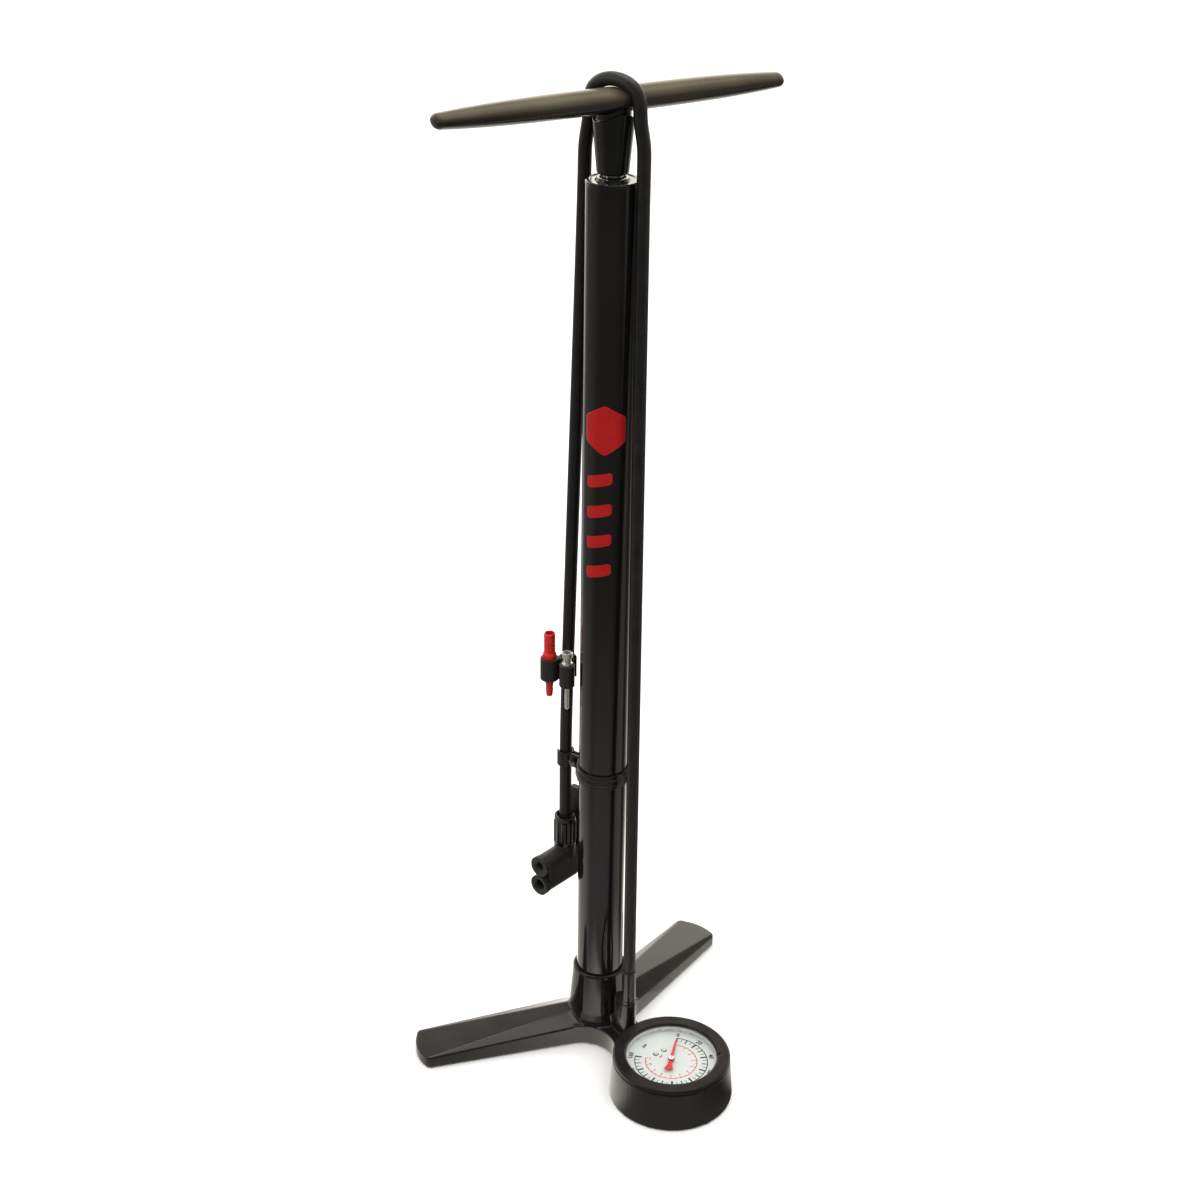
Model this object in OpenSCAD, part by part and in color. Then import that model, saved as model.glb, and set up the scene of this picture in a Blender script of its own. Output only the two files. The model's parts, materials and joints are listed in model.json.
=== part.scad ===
// Floor pump for bicycle tyres: three-point base with a gauge, steel barrel,
// sliding handle, hose stowed over the handle, twin-port head with a lever.
// Origin: on the floor, at the middle of the base's footprint. +Z up. The gauge lies towards -Y.
// The modules are drawn round the barrel axis and moved by foot_y at the end.

/* [Barrel] */
// Outside diameter of the barrel tube
barrel_od = 35; // [34.6:0.1:35]
// Wall thickness of the barrel tube
barrel_wall = 1.4; // [1.2:0.1:1.4]
// Height of the barrel's top rim above the floor
barrel_top = 666; // [640:1:700]

/* [Base] */
// Angle between the gauge arm and each leg, seen from above
leg_angle = 109.3; // [106:0.1:112]
// Reach of a leg from the barrel axis to the tip of its rounded end
leg_reach = 144; // [138:1:150]
// Width of a leg at its end
leg_width = 36; // [35:0.5:37]
// Height of a leg's top face near its end
leg_end_height = 9; // [8.5:0.1:9.5]
// Height of a leg's narrow top where it meets the hub
leg_ridge_height = 22.8; // [22:0.1:24]
// Height of a leg's side wall where it meets the hub
leg_wall_height = 15.7; // [15:0.1:16.5]
// Height of the collar that holds the barrel
collar_height = 60; // [56:1:64]
// Radius of the fillet between a leg and the gauge cup
neck_fillet = 25; // [23:0.5:27]

/* [Gauge] */
// Distance from the barrel axis to the gauge axis
gauge_offset = 92.4; // [92:0.1:93]
// Radius of the gauge cup at the floor
cup_radius = 46; // [45.5:0.1:46.5]
// Radius of the clear window over the dial
window_radius = 33.3; // [32:0.1:33.5]
// Height of the bezel's top face above the floor
bezel_height = 34.4; // [34.3:0.1:35]
// Direction of the dial's zero mark, seen from above
zero_angle = 43; // [40:1:46]

/* [Handle] */
// Overall length of the handle
handle_length = 249; // [230:0.5:260]
// Width of the handle at its middle
handle_width = 24.7; // [24:0.1:25.4]
// Thickness of the handle at its middle
handle_thickness = 15.6; // [15:0.1:16]
// Direction the handle points in at rest
handle_turn = -5.3; // [-7:0.1:-4]
// Outside diameter of the piston rod
rod_od = 14; // [13:0.1:14]

/* [Hose and head] */
// Outside diameter of the hose
hose_od = 9; // [8.6:0.1:9]
// Inside diameter of the hose
hose_id = 5; // [4.9:0.1:5.2]
// Direction of the head's two valve ports, seen from above
port_angle = 193.2; // [190:0.1:196]
// Bore radius of the port for wide valves
wide_port_r = 3.95; // [3.9:0.01:4.05]
// Bore radius of the port for narrow valves
narrow_port_r = 3.1; // [3.05:0.01:3.2]
// Width of the locking lever
lever_width = 14.4; // [13:0.1:14.6]

/* [Hidden] */
$fn = 96;

brass = [0.8, 0.65, 0.32];
bolt_steel = [0.6, 0.6, 0.62];
black_plastic = [0.1, 0.1, 0.1];
grommet_rubber = [0.04, 0.04, 0.04];

barrel_r = barrel_od / 2;
bore_r = barrel_r - barrel_wall;
rod_r = rod_od / 2;
hose_r = hose_od / 2;
hose_bore_r = hose_id / 2;

socket_z = 22;                     // floor of the barrel socket
under_z = 0.6;                     // underside of the base
air_z = 9;                         // axis of the air passage to the gauge
chamber_top = 16;                  // top of the valve chamber
cup_top = 30.6;
boss_y = -38;                      // hose boss, between barrel and gauge
boss_top = 47;
cap_top = barrel_top + 3.2;
handle_z = barrel_top + 52.7;      // the handle's long axis

loop_dir = 109.2;                  // direction of the hose loop's plane
head_reach = 33.5;                 // from the barrel axis to the hanging head

// ---------- helpers ----------
function unit(v) = v / norm(v);
// cubic Bezier through the four values in p
function bezier(p, t) =
  p[0]*pow(1-t,3) + 3*p[1]*t*pow(1-t,2) + 3*p[2]*t*t*(1-t) + p[3]*pow(t,3);

// faces of a closed skin over a stack of rings, each with the same number of points
function skin_faces(rings, n) = concat(
  [[for (k = [0:n-1]) k]],
  [for (i = [0:rings-2]) for (k = [0:n-1]) [i*n+k, (i+1)*n+k, (i+1)*n+(k+1)%n]],
  [for (i = [0:rings-2]) for (k = [0:n-1]) [i*n+k, (i+1)*n+(k+1)%n, i*n+(k+1)%n]],
  [[for (k = [n-1:-1:0]) (rings-1)*n+k]]);

// round bar swept along a list of points, with its rings kept square to a fixed side direction
module swept(path, r, n, side) {
  count = len(path);
  tangents = [for (i = [0:count-1]) unit(path[min(i+1, count-1)] - path[max(i-1, 0)])];
  sides = [for (t = tangents) unit(side - (side * t) * t)];
  points = [for (i = [0:count-1]) for (k = [0:n-1])
    path[i] + r * (cos(360*k/n) * sides[i] + sin(360*k/n) * cross(tangents[i], sides[i]))];
  polyhedron(points, skin_faces(count, n), convexity = 10);
}
module lathe(outline) rotate_extrude() polygon(outline);
module ring(r1, r2, z1, z2) translate([0, 0, z1]) difference() {
  cylinder(r = r2, h = z2 - z1);
  translate([0, 0, -1]) cylinder(r = r1, h = z2 - z1 + 2);
}
module post(r, z1, z2) translate([0, 0, z1]) cylinder(r = r, h = z2 - z1);
module along_x(x1, x2, r, z) translate([x1, 0, z]) rotate([0, 90, 0]) cylinder(r = r, h = x2 - x1);
// cylinder that runs from its start towards -Y
module towards_gauge(start, r, h) translate(start) rotate([90, 0, 0]) cylinder(r = r, h = h);

module at_gauge() translate([0, -gauge_offset, 0]) children();
module at_boss() translate([0, boss_y, 0]) children();
module at_handle() translate([0, 0, handle_z]) rotate([0, 0, handle_turn]) children();
// a point in the upright plane that holds the hose loop and the head
loop_across = [cos(loop_dir), sin(loop_dir)];
function in_plane(s, z) = [s * loop_across[0], s * loop_across[1], z];
// +X of this frame is the way the ports face
module at_head() translate(in_plane(head_reach, 0)) rotate([0, 0, port_angle]) children();

// ---------- base ----------
leg_dirs = [leg_angle - 90, 270 - leg_angle];
hub_r = 24.7;
neck_height = 17;
end_r = 33.2;                      // radius of a leg's rounded end
end_x = leg_reach - end_r;
corner_r = 5;
leg_half = leg_width / 2;
root_half = leg_half + 1.1;        // a leg is slightly wider at the hub
corner_y = leg_half - corner_r;
corner_x = end_x + sqrt(pow(end_r - corner_r, 2) - corner_y * corner_y);
tangent_y = end_r * corner_y / (end_r - corner_r);

// half the difference between how far the base reaches towards the gauge and towards the legs
foot_y = (gauge_offset + cup_radius
  - sin(leg_dirs[0]) * corner_x - cos(leg_dirs[0]) * corner_y - corner_r) / 2;

module leg_plan() difference() {
  intersection() {
    polygon([[0, -root_half], [126, -leg_half], [160, -leg_half],
      [160, leg_half], [126, leg_half], [0, root_half]]);
    union() {
      translate([end_x, 0]) circle(r = end_r, $fn = 180);
      translate([0, -30]) square([end_x, 60]);
    }
  }
  for (s = [-1, 1]) difference() {
    translate([corner_x, s > 0 ? tangent_y : -tangent_y - 6]) square([12, 6]);
    translate([corner_x, s * corner_y]) circle(r = corner_r);
  }
}
// gently falling top, widening towards the end, with a flat flank on each side;
// inset sinks and narrows it, for the hollow under the leg
module leg_roof(inset) {
  speck = 0.01;                    // cube hulled at each corner
  root_x = 12;
  far_x = 155;
  ridge_x = leg_reach - 27;
  fall = function (x, h) leg_end_height - inset
    + (leg_reach - 6 - x) * (h - leg_end_height) / (leg_reach - 6 - hub_r);
  bottom = inset > 0 ? -2 : under_z;
  hull() for (s = [-1, 1]) for (p = [
    [far_x, s * (leg_half - inset), fall(far_x, leg_wall_height)],
    [root_x, s * (root_half - inset), fall(root_x, leg_wall_height)],
    [ridge_x, s * (13.5 - inset), fall(ridge_x, leg_ridge_height)],
    [root_x, s * (4 - inset / 3), fall(root_x, leg_ridge_height)],
    [root_x, s * (root_half - inset), bottom],
    [far_x, s * (root_half - inset), bottom]]) translate(p) cube(speck);
}
module pad_plan(gap) translate([leg_reach - 27 - gap, -12 - gap])
  square([14 + 2*gap, 24 + 2*gap]);
module leg() difference() {
  intersection() {
    translate([0, 0, under_z]) linear_extrude(50) leg_plan();
    leg_roof(0);
  }
  // three pockets underneath, with ribs between them
  intersection() {
    leg_roof(3);
    for (x = [34, 61, 88]) translate([x, -30, -3]) cube([24, 60, 60]);
  }
  translate([0, 0, -1]) linear_extrude(3) pad_plan(0.1);
}

// the fillet circle touches the near side of the -X leg and the gauge cup
leg_along = [cos(leg_dirs[1]), sin(leg_dirs[1])];
leg_across = [-leg_along[1], leg_along[0]];
fillet_side = (leg_half + 1 + neck_fillet) * leg_across;
from_gauge = fillet_side + [0, gauge_offset];
gauge_along = from_gauge * leg_along;
fillet_along = -gauge_along + sqrt(gauge_along*gauge_along - from_gauge*from_gauge
  + pow(cup_radius + neck_fillet, 2));
fillet_center = fillet_side + fillet_along * leg_along;
neck_edge = [
  fillet_along * leg_along + leg_half * leg_across,
  fillet_center,
  [fillet_center[0] * 0.6, -gauge_offset + 38]];
module neck_plan() difference() {
  polygon(concat([[0, 8]], neck_edge,
    [for (i = [2:-1:0]) [-neck_edge[i][0], neck_edge[i][1]]]));
  for (s = [-1, 1]) translate([s * fillet_center[0], fillet_center[1]])
    circle(r = neck_fillet, $fn = 180);
}

gauge_port_y = -50;                // start of the gauge socket's hole

module base() color([0.07, 0.07, 0.065]) difference() {
  union() {
    for (a = leg_dirs) rotate([0, 0, a]) leg();
    // hub and collar in one straight taper, with a small fillet over the legs
    lathe([[0, under_z], [hub_r + 1.6, under_z], [hub_r + 1.2, 17],
      [hub_r - 0.4, 19.5], [hub_r - 1.9, 26], [20.2, collar_height - 1],
      [19.5, collar_height], [0, collar_height]], $fn = 180);
    translate([0, 0, under_z]) linear_extrude(neck_height - under_z) neck_plan();
    // gauge cup
    at_gauge() translate([0, 0, under_z])
      cylinder(r1 = cup_radius, r2 = cup_radius - 2.4, h = cup_top - under_z, $fn = 180);
    // hose boss and its web
    hull() {
      at_boss() post(5.9, under_z, boss_top);
      translate([0, -30, 0]) post(6.3, under_z, boss_top);
    }
    translate([-5, boss_y, under_z]) cube([10, 22, 25.4]);
  }
  // barrel socket, valve chamber and air passages
  post(barrel_r + 0.02, socket_z, collar_height + 1);
  post(2.6, 10, socket_z + 1);
  post(7, -1, chamber_top);
  towards_gauge([0, 0, air_z], 2, 52);
  at_boss() {
    post(2, air_z, boss_top + 1);
    post(4.05, 35, boss_top + 1);
  }
  // gauge cavity, its stepped mouth and the socket's port
  at_gauge() {
    post(37.8, 3.5, 60);
    post(39.5, 26.9, 60);
  }
  towards_gauge([0, gauge_port_y, air_z], 4.55, 10);
  // groove for the ring pad
  at_gauge() difference() {
    post(41.1, -1, 1.9);
    post(33.9, -2, 3);
  }
}
module foot_pads() color([0.03, 0.03, 0.03]) {
  for (a = leg_dirs) rotate([0, 0, a]) linear_extrude(2) pad_plan(0);
  at_gauge() ring(34, 41, 0, 1.9);
}
module valve_plug() color(black_plastic) difference() {
  post(6.95, 1, 4.8);
  post(3, -1, 3.4, $fn = 6);
}
module valve_seat() color([0.75, 0.6, 0.3]) ring(2.6, 6.95, 13.5, chamber_top);
module check_ball() color([0.7, 0.7, 0.72]) translate([0, 0, 11.12]) sphere(r = 3.5);
module valve_spring() color([0.75, 0.75, 0.78])
  swept([for (i = [0:60]) [2.6*cos(i*15), 2.6*sin(i*15), 5.25 + 2.75*i/60]], 0.32, 10, [0, 0, 1]);
module barrel_gasket() color([0.05, 0.05, 0.05]) ring(12.5, 17.3, socket_z, socket_z + 2);

// ---------- barrel ----------
module barrel() color([0.03, 0.03, 0.03])
  ring(bore_r, barrel_r, socket_z + 2, barrel_top, $fn = 180);
module top_cap() color([0.05, 0.05, 0.05]) lathe([
  [8.62, barrel_top - 34], [bore_r - 0.03, barrel_top - 34], [bore_r - 0.03, barrel_top],
  [barrel_r + 0.1, barrel_top], [barrel_r + 0.1, cap_top - 0.8], [barrel_r - 0.6, cap_top],
  [barrel_r - 2.4, cap_top], [barrel_r - 3, cap_top - 0.6], [11.2, cap_top - 0.6],
  [10.4, cap_top + 1.2], [8.62, cap_top + 1.2]], $fn = 180);
module rod_bush() color([0.8, 0.8, 0.76]) ring(rod_r + 0.05, 8.6, barrel_top - 32, cap_top - 0.4);

// clip that holds the hose to the barrel
clip_z = 226.5;                    // underside of its band
clip_inner_r = barrel_r + 0.05;
clip_screw_x = 24.2;
clip_screw_z = clip_z + 5.7;
module barrel_clip() color(black_plastic) difference() {
  union() {
    ring(clip_inner_r, barrel_r + 1.7, clip_z, clip_z + 11);
    ring(clip_inner_r, barrel_r + 2.5, clip_z + 3, clip_z + 7.5);
    rotate([0, 0, loop_dir]) for (s = [-1, 1])
      translate([barrel_r + 0.6, s * 2 - 1, clip_z + 0.5])
        cube([head_reach - barrel_r - 5.6, 2, 10.5]);
    rotate([0, 0, loop_dir]) translate([head_reach, 0, 0]) post(6.4, clip_z - 0.5, clip_z + 11.5);
  }
  post(clip_inner_r, clip_z - 5, clip_z + 20, $fn = 180);
  rotate([0, 0, loop_dir]) {
    translate([head_reach, 0, 0]) post(hose_r + 0.1, clip_z - 5, clip_z + 20);
    translate([head_reach, -3.2, clip_z - 5]) cube([10, 6.4, 25]);
    translate([0, -1, clip_z - 5]) cube([barrel_r + 8, 2, 25]);
    towards_gauge([clip_screw_x, 5, clip_screw_z], 1.55, 10);
  }
}
module clip_screw() color([0.55, 0.55, 0.57])
  rotate([0, 0, loop_dir]) translate([clip_screw_x, 0, clip_screw_z]) rotate([90, 0, 0]) {
    post(1.5, -5, 5);
    // slotted head
    difference() {
      post(2.7, 3.05, 4.75);
      translate([-0.4, -4, 4.1]) cube([0.8, 8, 2]);
    }
    // nut
    post(3, -5.2, -3.1, $fn = 6);
  }

// ---------- piston and rod ----------
piston_bottom = 33;
piston_top = 57.8;
groove_z = 45;                     // middle of the piston ring
rod_bottom = 60;
rod_bore_r = rod_r - 1.5;
rod_top = handle_z - 20;
bolt_hole_r = 4.02;
module piston_rod() color([0.75, 0.75, 0.77]) ring(rod_bore_r, rod_r, rod_bottom, rod_top);
module rod_plug() color([0.7, 0.7, 0.7]) difference() {
  union() {
    post(rod_bore_r - 0.05, 60.2, 84);
    post(rod_r, piston_top, rod_bottom);
    post(rod_bore_r - 0.05, 59.9, 60.3);
  }
  post(bolt_hole_r, 50, 80);
}
module piston() color([0.15, 0.15, 0.16]) difference() {
  post(bore_r - 0.2, piston_bottom, piston_top);
  // ring groove
  difference() {
    post(20, groove_z - 2.1, groove_z + 2.1);
    post(bore_r - 3.86, 40, 50);
  }
  post(bolt_hole_r, 30, 60);
  for (a = [0:60:300]) rotate([0, 0, a]) translate([9, 0, 0]) post(1.2, groove_z + 2.1, 60);
}
module piston_ring() color([0.05, 0.05, 0.05]) translate([0, 0, groove_z])
  rotate_extrude() translate([bore_r - 1.95, 0]) circle(r = 1.9, $fn = 48);
module piston_bolt() color(bolt_steel) difference() {
  union() {
    post(4, piston_bottom, 78);
    post(6.5, 28.4, piston_bottom);
  }
  post(3, 27, 31.4, $fn = 6);
}
module stop_bumper() color([0.06, 0.06, 0.06]) lathe([
  [rod_r + 0.03, piston_top + 0.05], [13.5, piston_top + 0.05],
  [13.5, 62], [12.6, 64], [13.2, 66], [11.5, 68], [rod_r + 0.03, 68]]);

// ---------- handle ----------
handle_half = handle_length / 2;
end_round = 5;                     // length of each rounded end
handle_bolt_hole_r = 2.6;
// half-sizes of the handle's oval section at a distance x from the middle
function grip(x) = let (
  along = abs(x) / (handle_half - end_round),
  into_end = max(0, (abs(x) - handle_half + end_round) / (end_round + 0.001)),
  shrink = into_end > 0 ? sqrt(max(0.05, 1 - into_end*into_end)) : 1)
  shrink * (1 - 0.36 * pow(min(along, 1), 3.3)) * [handle_width/2, handle_thickness/2];
// sections near an end, as distances in from the tip
end_stations = [0, 0.4, 1.2, 2.5, 5, 12, 20];
module grip_solid(extra) {
  stations = concat(
    [for (inset = end_stations) -handle_half + inset],
    [-90, -75, -50, -15, 0, 15, 50, 75, 90],
    [for (i = [len(end_stations)-1:-1:0]) handle_half - end_stations[i]]);
  n = 40;
  points = [for (x = stations) for (k = [0:n-1])
    [x, (grip(x)[0] + extra) * cos(360*k/n), (grip(x)[1] + extra) * sin(360*k/n)]];
  polyhedron(points, skin_faces(len(stations), n), convexity = 6);
}
module handle() color([0.1, 0.1, 0.08]) at_handle() difference() {
  grip_solid(0);
  post(handle_bolt_hole_r, -20, 20);
  post(4.2, 1.5, 20);
}
module handle_stem() color(grommet_rubber) difference() {
  union() {
    // the shoulder follows the handle a little way below it
    difference() {
      lathe([[0, handle_z - 45.8], [9.6, handle_z - 45.8], [10.4, handle_z - 45],
        [13.5, handle_z - 12], [13.5, handle_z - 2], [0, handle_z - 2]]);
      at_handle() grip_solid(4.2);
    }
    post(11.2, rod_top, handle_z - 2);
  }
  at_handle() grip_solid(0.02);
  post(rod_r + 0.05, handle_z - 60, rod_top + 0.1);
  post(handle_bolt_hole_r, handle_z - 30, handle_z);
}
module handle_bolt() color(bolt_steel) difference() {
  union() {
    post(2.5, handle_z - 19.5, handle_z + 1.6);
    post(4, handle_z + 1.6, handle_z + 6);
  }
  post(2, handle_z + 3.4, handle_z + 8.4, $fn = 6);
}

// ---------- hose ----------
loop_a = handle_width / 2 / sin(loop_dir - handle_turn);
loop_b = handle_thickness / 2;
// the loop crosses the handle at an angle, so its gap at the sides is measured square to the handle
side_gap = (hose_r + 0.35) / sin(loop_dir - handle_turn);
top_gap = hose_r + 0.55;
strand = 22.7;                     // from the rod to each hanging strand
// the loop hangs a little towards +X from the rod
loop_shift = [0.8, 0, 0];
function at_loop(s, z) = in_plane(s, z) + loop_shift;
function over_handle(t) = let (n = unit([loop_b * cos(t), handle_width / 2 * sin(t)]))
  at_loop(loop_a * cos(t) + side_gap * n[0], handle_z + loop_b * sin(t) + top_gap * n[1]);
// a strand's distance from the rod as it eases in to the handle's side, t from 0 to 1
function ease_in(t) = strand - (strand - loop_a - side_gap) * pow(t, 2) * (3 - 2*t);
rise_start = [0, boss_y, 80];
hose_path = concat(
  // up from the boss
  [[0, boss_y, boss_top + 0.3], [0, boss_y, 64], rise_start],
  [for (t = [0.05:0.1:0.96]) rise_start + t * (at_loop(-strand, handle_z - 66) - rise_start)],
  [at_loop(-strand, handle_z - 50), at_loop(-strand, handle_z - 40)],
  // over the handle
  [for (t = [0:0.25:1]) at_loop(-ease_in(t), handle_z - 30 + 24 * t)],
  [for (t = [180:-10:0]) over_handle(t)],
  [for (t = [1:-0.25:0]) at_loop(ease_in(t), handle_z - 36 + 30 * t)],
  // down to the head
  [for (t = [0.08:0.08:0.99])
    in_plane(bezier([strand, 22.9, 32.6, head_reach], t),
      bezier([handle_z - 40, handle_z - 100, 330, 242], t)) + pow(1 - t, 2) * loop_shift],
  [for (z = [240, 200, 157]) in_plane(head_reach, z)]);
loop_normal = [cos(loop_dir - 90), sin(loop_dir - 90), 0];
module hose() color([0.06, 0.05, 0.05]) difference() {
  swept(hose_path, hose_r, 28, loop_normal);
  // the bore runs on past both ends
  swept(concat([hose_path[0] - [0, 0, 1]], hose_path, [in_plane(head_reach, 156)]),
    hose_bore_r, 16, loop_normal);
}
module hose_ferrule() color([0.09, 0.09, 0.09]) at_boss() lathe([
  [hose_r + 0.08, boss_top + 0.1], [5.6, boss_top + 0.1], [5.6, boss_top + 2],
  [5.3, boss_top + 2.6], [5.1, boss_top + 28], [4.95, boss_top + 29],
  [hose_r + 0.08, boss_top + 29]]);

// barbed nipples inside the hose ends
neck_r = hose_bore_r - 0.35;
nipple_bore_r = 1.4;
module barbs(z1, count) for (i = [0:count-1]) translate([0, 0, z1 + i * 3])
  cylinder(r1 = hose_bore_r - 0.05, r2 = neck_r, h = 3);
module base_nipple() color(brass) at_boss() difference() {
  union() {
    post(4, 36, 46.9);
    post(neck_r, 46, 50);
    barbs(50, 5);
  }
  post(nipple_bore_r, 30, 70);
}
module head_nipple() color(brass) translate(in_plane(head_reach, 0)) difference() {
  union() {
    post(4, 151, 156.4);
    post(neck_r, 156, 159);
    barbs(159, 4);
  }
  post(nipple_bore_r, 150, 175);
}

// ---------- head ----------
narrow_z = 148;                    // axes of the two ports
wide_z = 131.5;
port_z = [narrow_z, wide_z];
port_gap = narrow_z - wide_z;
plunger_z = (narrow_z + wide_z) / 2;
pin_x = -12;                       // lever pin
pin_z = 142;
lever_x = -14.5;                   // outer face of the lever
lever_depth = 4.9;
module head_collar() color([0.09, 0.09, 0.085]) at_head() difference() {
  union() {
    post(8.5, 156.6, 158.6);
    post(8.9, 158.2, 177.2, $fn = 10);
    post(8.2, 176, 181);
  }
  post(hose_r + 0.1, 150, 190);
  post(6.2, 178, 183);
  for (a = [18:36:342]) rotate([0, 0, a]) translate([9.3, 0, 0]) post(1.3, 160, 190);
}
module head_body() color([0.08, 0.08, 0.08]) at_head() difference() {
  union() {
    for (z = port_z) along_x(-7, 24.4, 7.6, z);
    translate([-7, -7.6, wide_z]) cube([31.4, 15.2, port_gap]);
    post(8.2, 146, 156.5);
    // cheeks that carry the lever's pin
    towards_gauge([pin_x, lever_width/2, pin_z], 6, lever_width);
    translate([pin_x, -lever_width/2, pin_z - 6]) cube([10, lever_width, 12]);
  }
  // lever slot and pin hole
  translate([-30, -3.6, pin_z - 20]) cube([23.9, 7.2, 27.5]);
  towards_gauge([pin_x, 10, pin_z], 1.52, 20);
  // port chambers, joined by a slot
  for (z = port_z) along_x(8, 30, 6.5, z);
  translate([8, -2.2, wide_z]) cube([5, 4.4, port_gap]);
  along_x(-8, 12, 2.1, plunger_z);
  // nipple seat and air passage
  post(4.05, 151, 170);
  post(1.6, 146, 152);
  along_x(0, 10, 1.6, 147.4);
}
module port_nut(z, r) color(black_plastic)
  at_head() translate([0, 0, z]) rotate([0, 90, 0]) difference() {
    union() {
      post(8.1, 24.6, 29);
      post(6.45, 21, 25);
    }
    post(r, 10, 40);
    translate([0, 0, 27.4]) cylinder(r1 = r, r2 = r + 1.7, h = 1.7);
    for (a = [0:30:330]) rotate([0, 0, a]) translate([8.9, 0, 0]) post(1.2, 20, 27);
  }
module wide_port_nut() port_nut(wide_z, wide_port_r);
module narrow_port_nut() port_nut(narrow_z, narrow_port_r);
module grommet(z, r) color(grommet_rubber) at_head() difference() {
  along_x(12.7, 20.9, 6.4, z);
  along_x(10, 30, r, z);
}
module wide_grommet() grommet(wide_z, wide_port_r);
module narrow_grommet() grommet(narrow_z, narrow_port_r);
module head_plunger() color([0.8, 0.8, 0.8]) at_head() difference() {
  union() {
    for (z = port_z) along_x(9.5, 11, 6.2, z);
    translate([9.5, -2, wide_z]) cube([1.5, 4, port_gap]);
    along_x(-6.35, 10, 2, plunger_z);
  }
  for (z = port_z) along_x(5, 15, 1.8, z);
}
module lever_plan() {
  for (s = [-1, 1]) translate([s * (lever_width/2 - 5), 195]) circle(r = 5);
  translate([-lever_width/2 + 5, 190]) square([lever_width - 10, 10]);
  translate([-lever_width/2, 149]) square([lever_width, 46]);
}
module head_lever() color(black_plastic) at_head() difference() {
  union() {
    towards_gauge([pin_x, 3.5, pin_z], 5.5, 7);
    translate([lever_x, -3.5, pin_z]) cube([lever_depth, 7, 9]);
    intersection() {
      translate([lever_x, -lever_width/2, 149.7]) cube([lever_depth, lever_width, 50.3]);
      translate([-30, 0, 0]) rotate([90, 0, 90]) linear_extrude(30) lever_plan();
    }
    // thumb lip
    translate([-16.3, -lever_width/2 + 2, 193]) cube([3, lever_width - 4, 5]);
  }
  towards_gauge([pin_x, 10, pin_z], 1.55, 20);
  // grooves across the outer face
  for (z = [170:4:186]) translate([lever_x - 0.5, -lever_width/2 + 2.5, z])
    cube([0.9, lever_width - 5, 1.6]);
}
module lever_pin() color([0.7, 0.7, 0.72]) at_head()
  towards_gauge([pin_x, lever_width/2 - 0.1, pin_z], 1.5, lever_width - 0.2);

// ---------- adapters on the hose ----------
adapter_at = [-22.4, 36.3];
needle_at = [-18.1, 20.5];
holder_at = [-10.6, 30.42];        // where the holder grips the hose
module holder_arm(tip) translate(holder_at)
  rotate([0, 0, atan2(tip[1] - holder_at[1], tip[0] - holder_at[0])])
    translate([0, -2.5]) square([norm(tip - holder_at), 5]);
module adapter_holder() color([0.12, 0.12, 0.115])
  translate([0, 0, 299]) linear_extrude(17) difference() {
    union() {
      translate(adapter_at) circle(r = 6.7);
      translate(needle_at) circle(r = 5.6);
      translate(holder_at) circle(r = 6.5);
      holder_arm(adapter_at);
      holder_arm(needle_at);
    }
    translate(adapter_at) circle(r = 4.6);
    translate(needle_at) circle(r = 3.4);
    translate(holder_at) circle(r = hose_r + 0.45);
    translate(holder_at) rotate([0, 0, -62]) translate([0, -3]) square([12, 6]);
  }
// the outlines below are [radius, height]
module valve_adapter() color([0.85, 0.05, 0.04]) translate(adapter_at) difference() {
  lathe([[0, 285], [2.1, 285], [2.35, 286], [2.8, 291], [2.6, 291.3], [3.1, 296],
    [2.95, 296.3], [3.5, 299], [4.4, 316.1], [5, 316.1], [5, 319.2], [4.5, 320.2],
    [3.95, 320.6], [4.15, 335], [3.9, 336], [0, 336]]);
  post(3.1, 324, 340);
  post(1.1, 280, 340);
}
module needle_hub() color([0.8, 0.8, 0.82]) translate(needle_at) difference() {
  lathe([[0, 304], [3.3, 304], [3.3, 316.1], [3.9, 316.1], [3.9, 317.6], [2.9, 318.6],
    [2.9, 321.6], [3.85, 322.4], [3.85, 325.6], [3.5, 326], [0, 326]]);
  post(2.3, 312, 330);
  post(1.52, 300, 330);
}
module needle_tube() color([0.8, 0.8, 0.82]) translate(needle_at) difference() {
  union() {
    post(1.5, 281, 311.5);
    translate([0, 0, 281]) sphere(r = 1.5);
  }
  post(0.8, 283.5, 320);
  along_x(-3, 3, 0.5, 284.5);
}

// ---------- gauge ----------
dial_bottom = 25.9;
dial_top = 26.5;
shaft_r = 0.75;
shaft_hole_r = 0.78;
sector_y = -20.45;                 // pivot of the sector gear
module at_dial_screws() for (x = [-4.4, 3.2]) translate([x, 13.1, 0]) children();
module gauge_can() color([0.6, 0.6, 0.6]) difference() {
  at_gauge() post(37.7, 3.6, 31.2);
  at_gauge() post(36.9, 4.4, 40);
  towards_gauge([0, gauge_port_y, air_z], 4.7, 10);
}
module gauge_socket() color(brass) difference() {
  union() {
    towards_gauge([0, gauge_port_y - 0.2, air_z], 4.5, 8.5);
    at_gauge() translate([-6.8, 26, 4.9]) cube([13.6, 8.6, 13]);
  }
  towards_gauge([0, -49, air_z], 1.6, 14);
}
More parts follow.
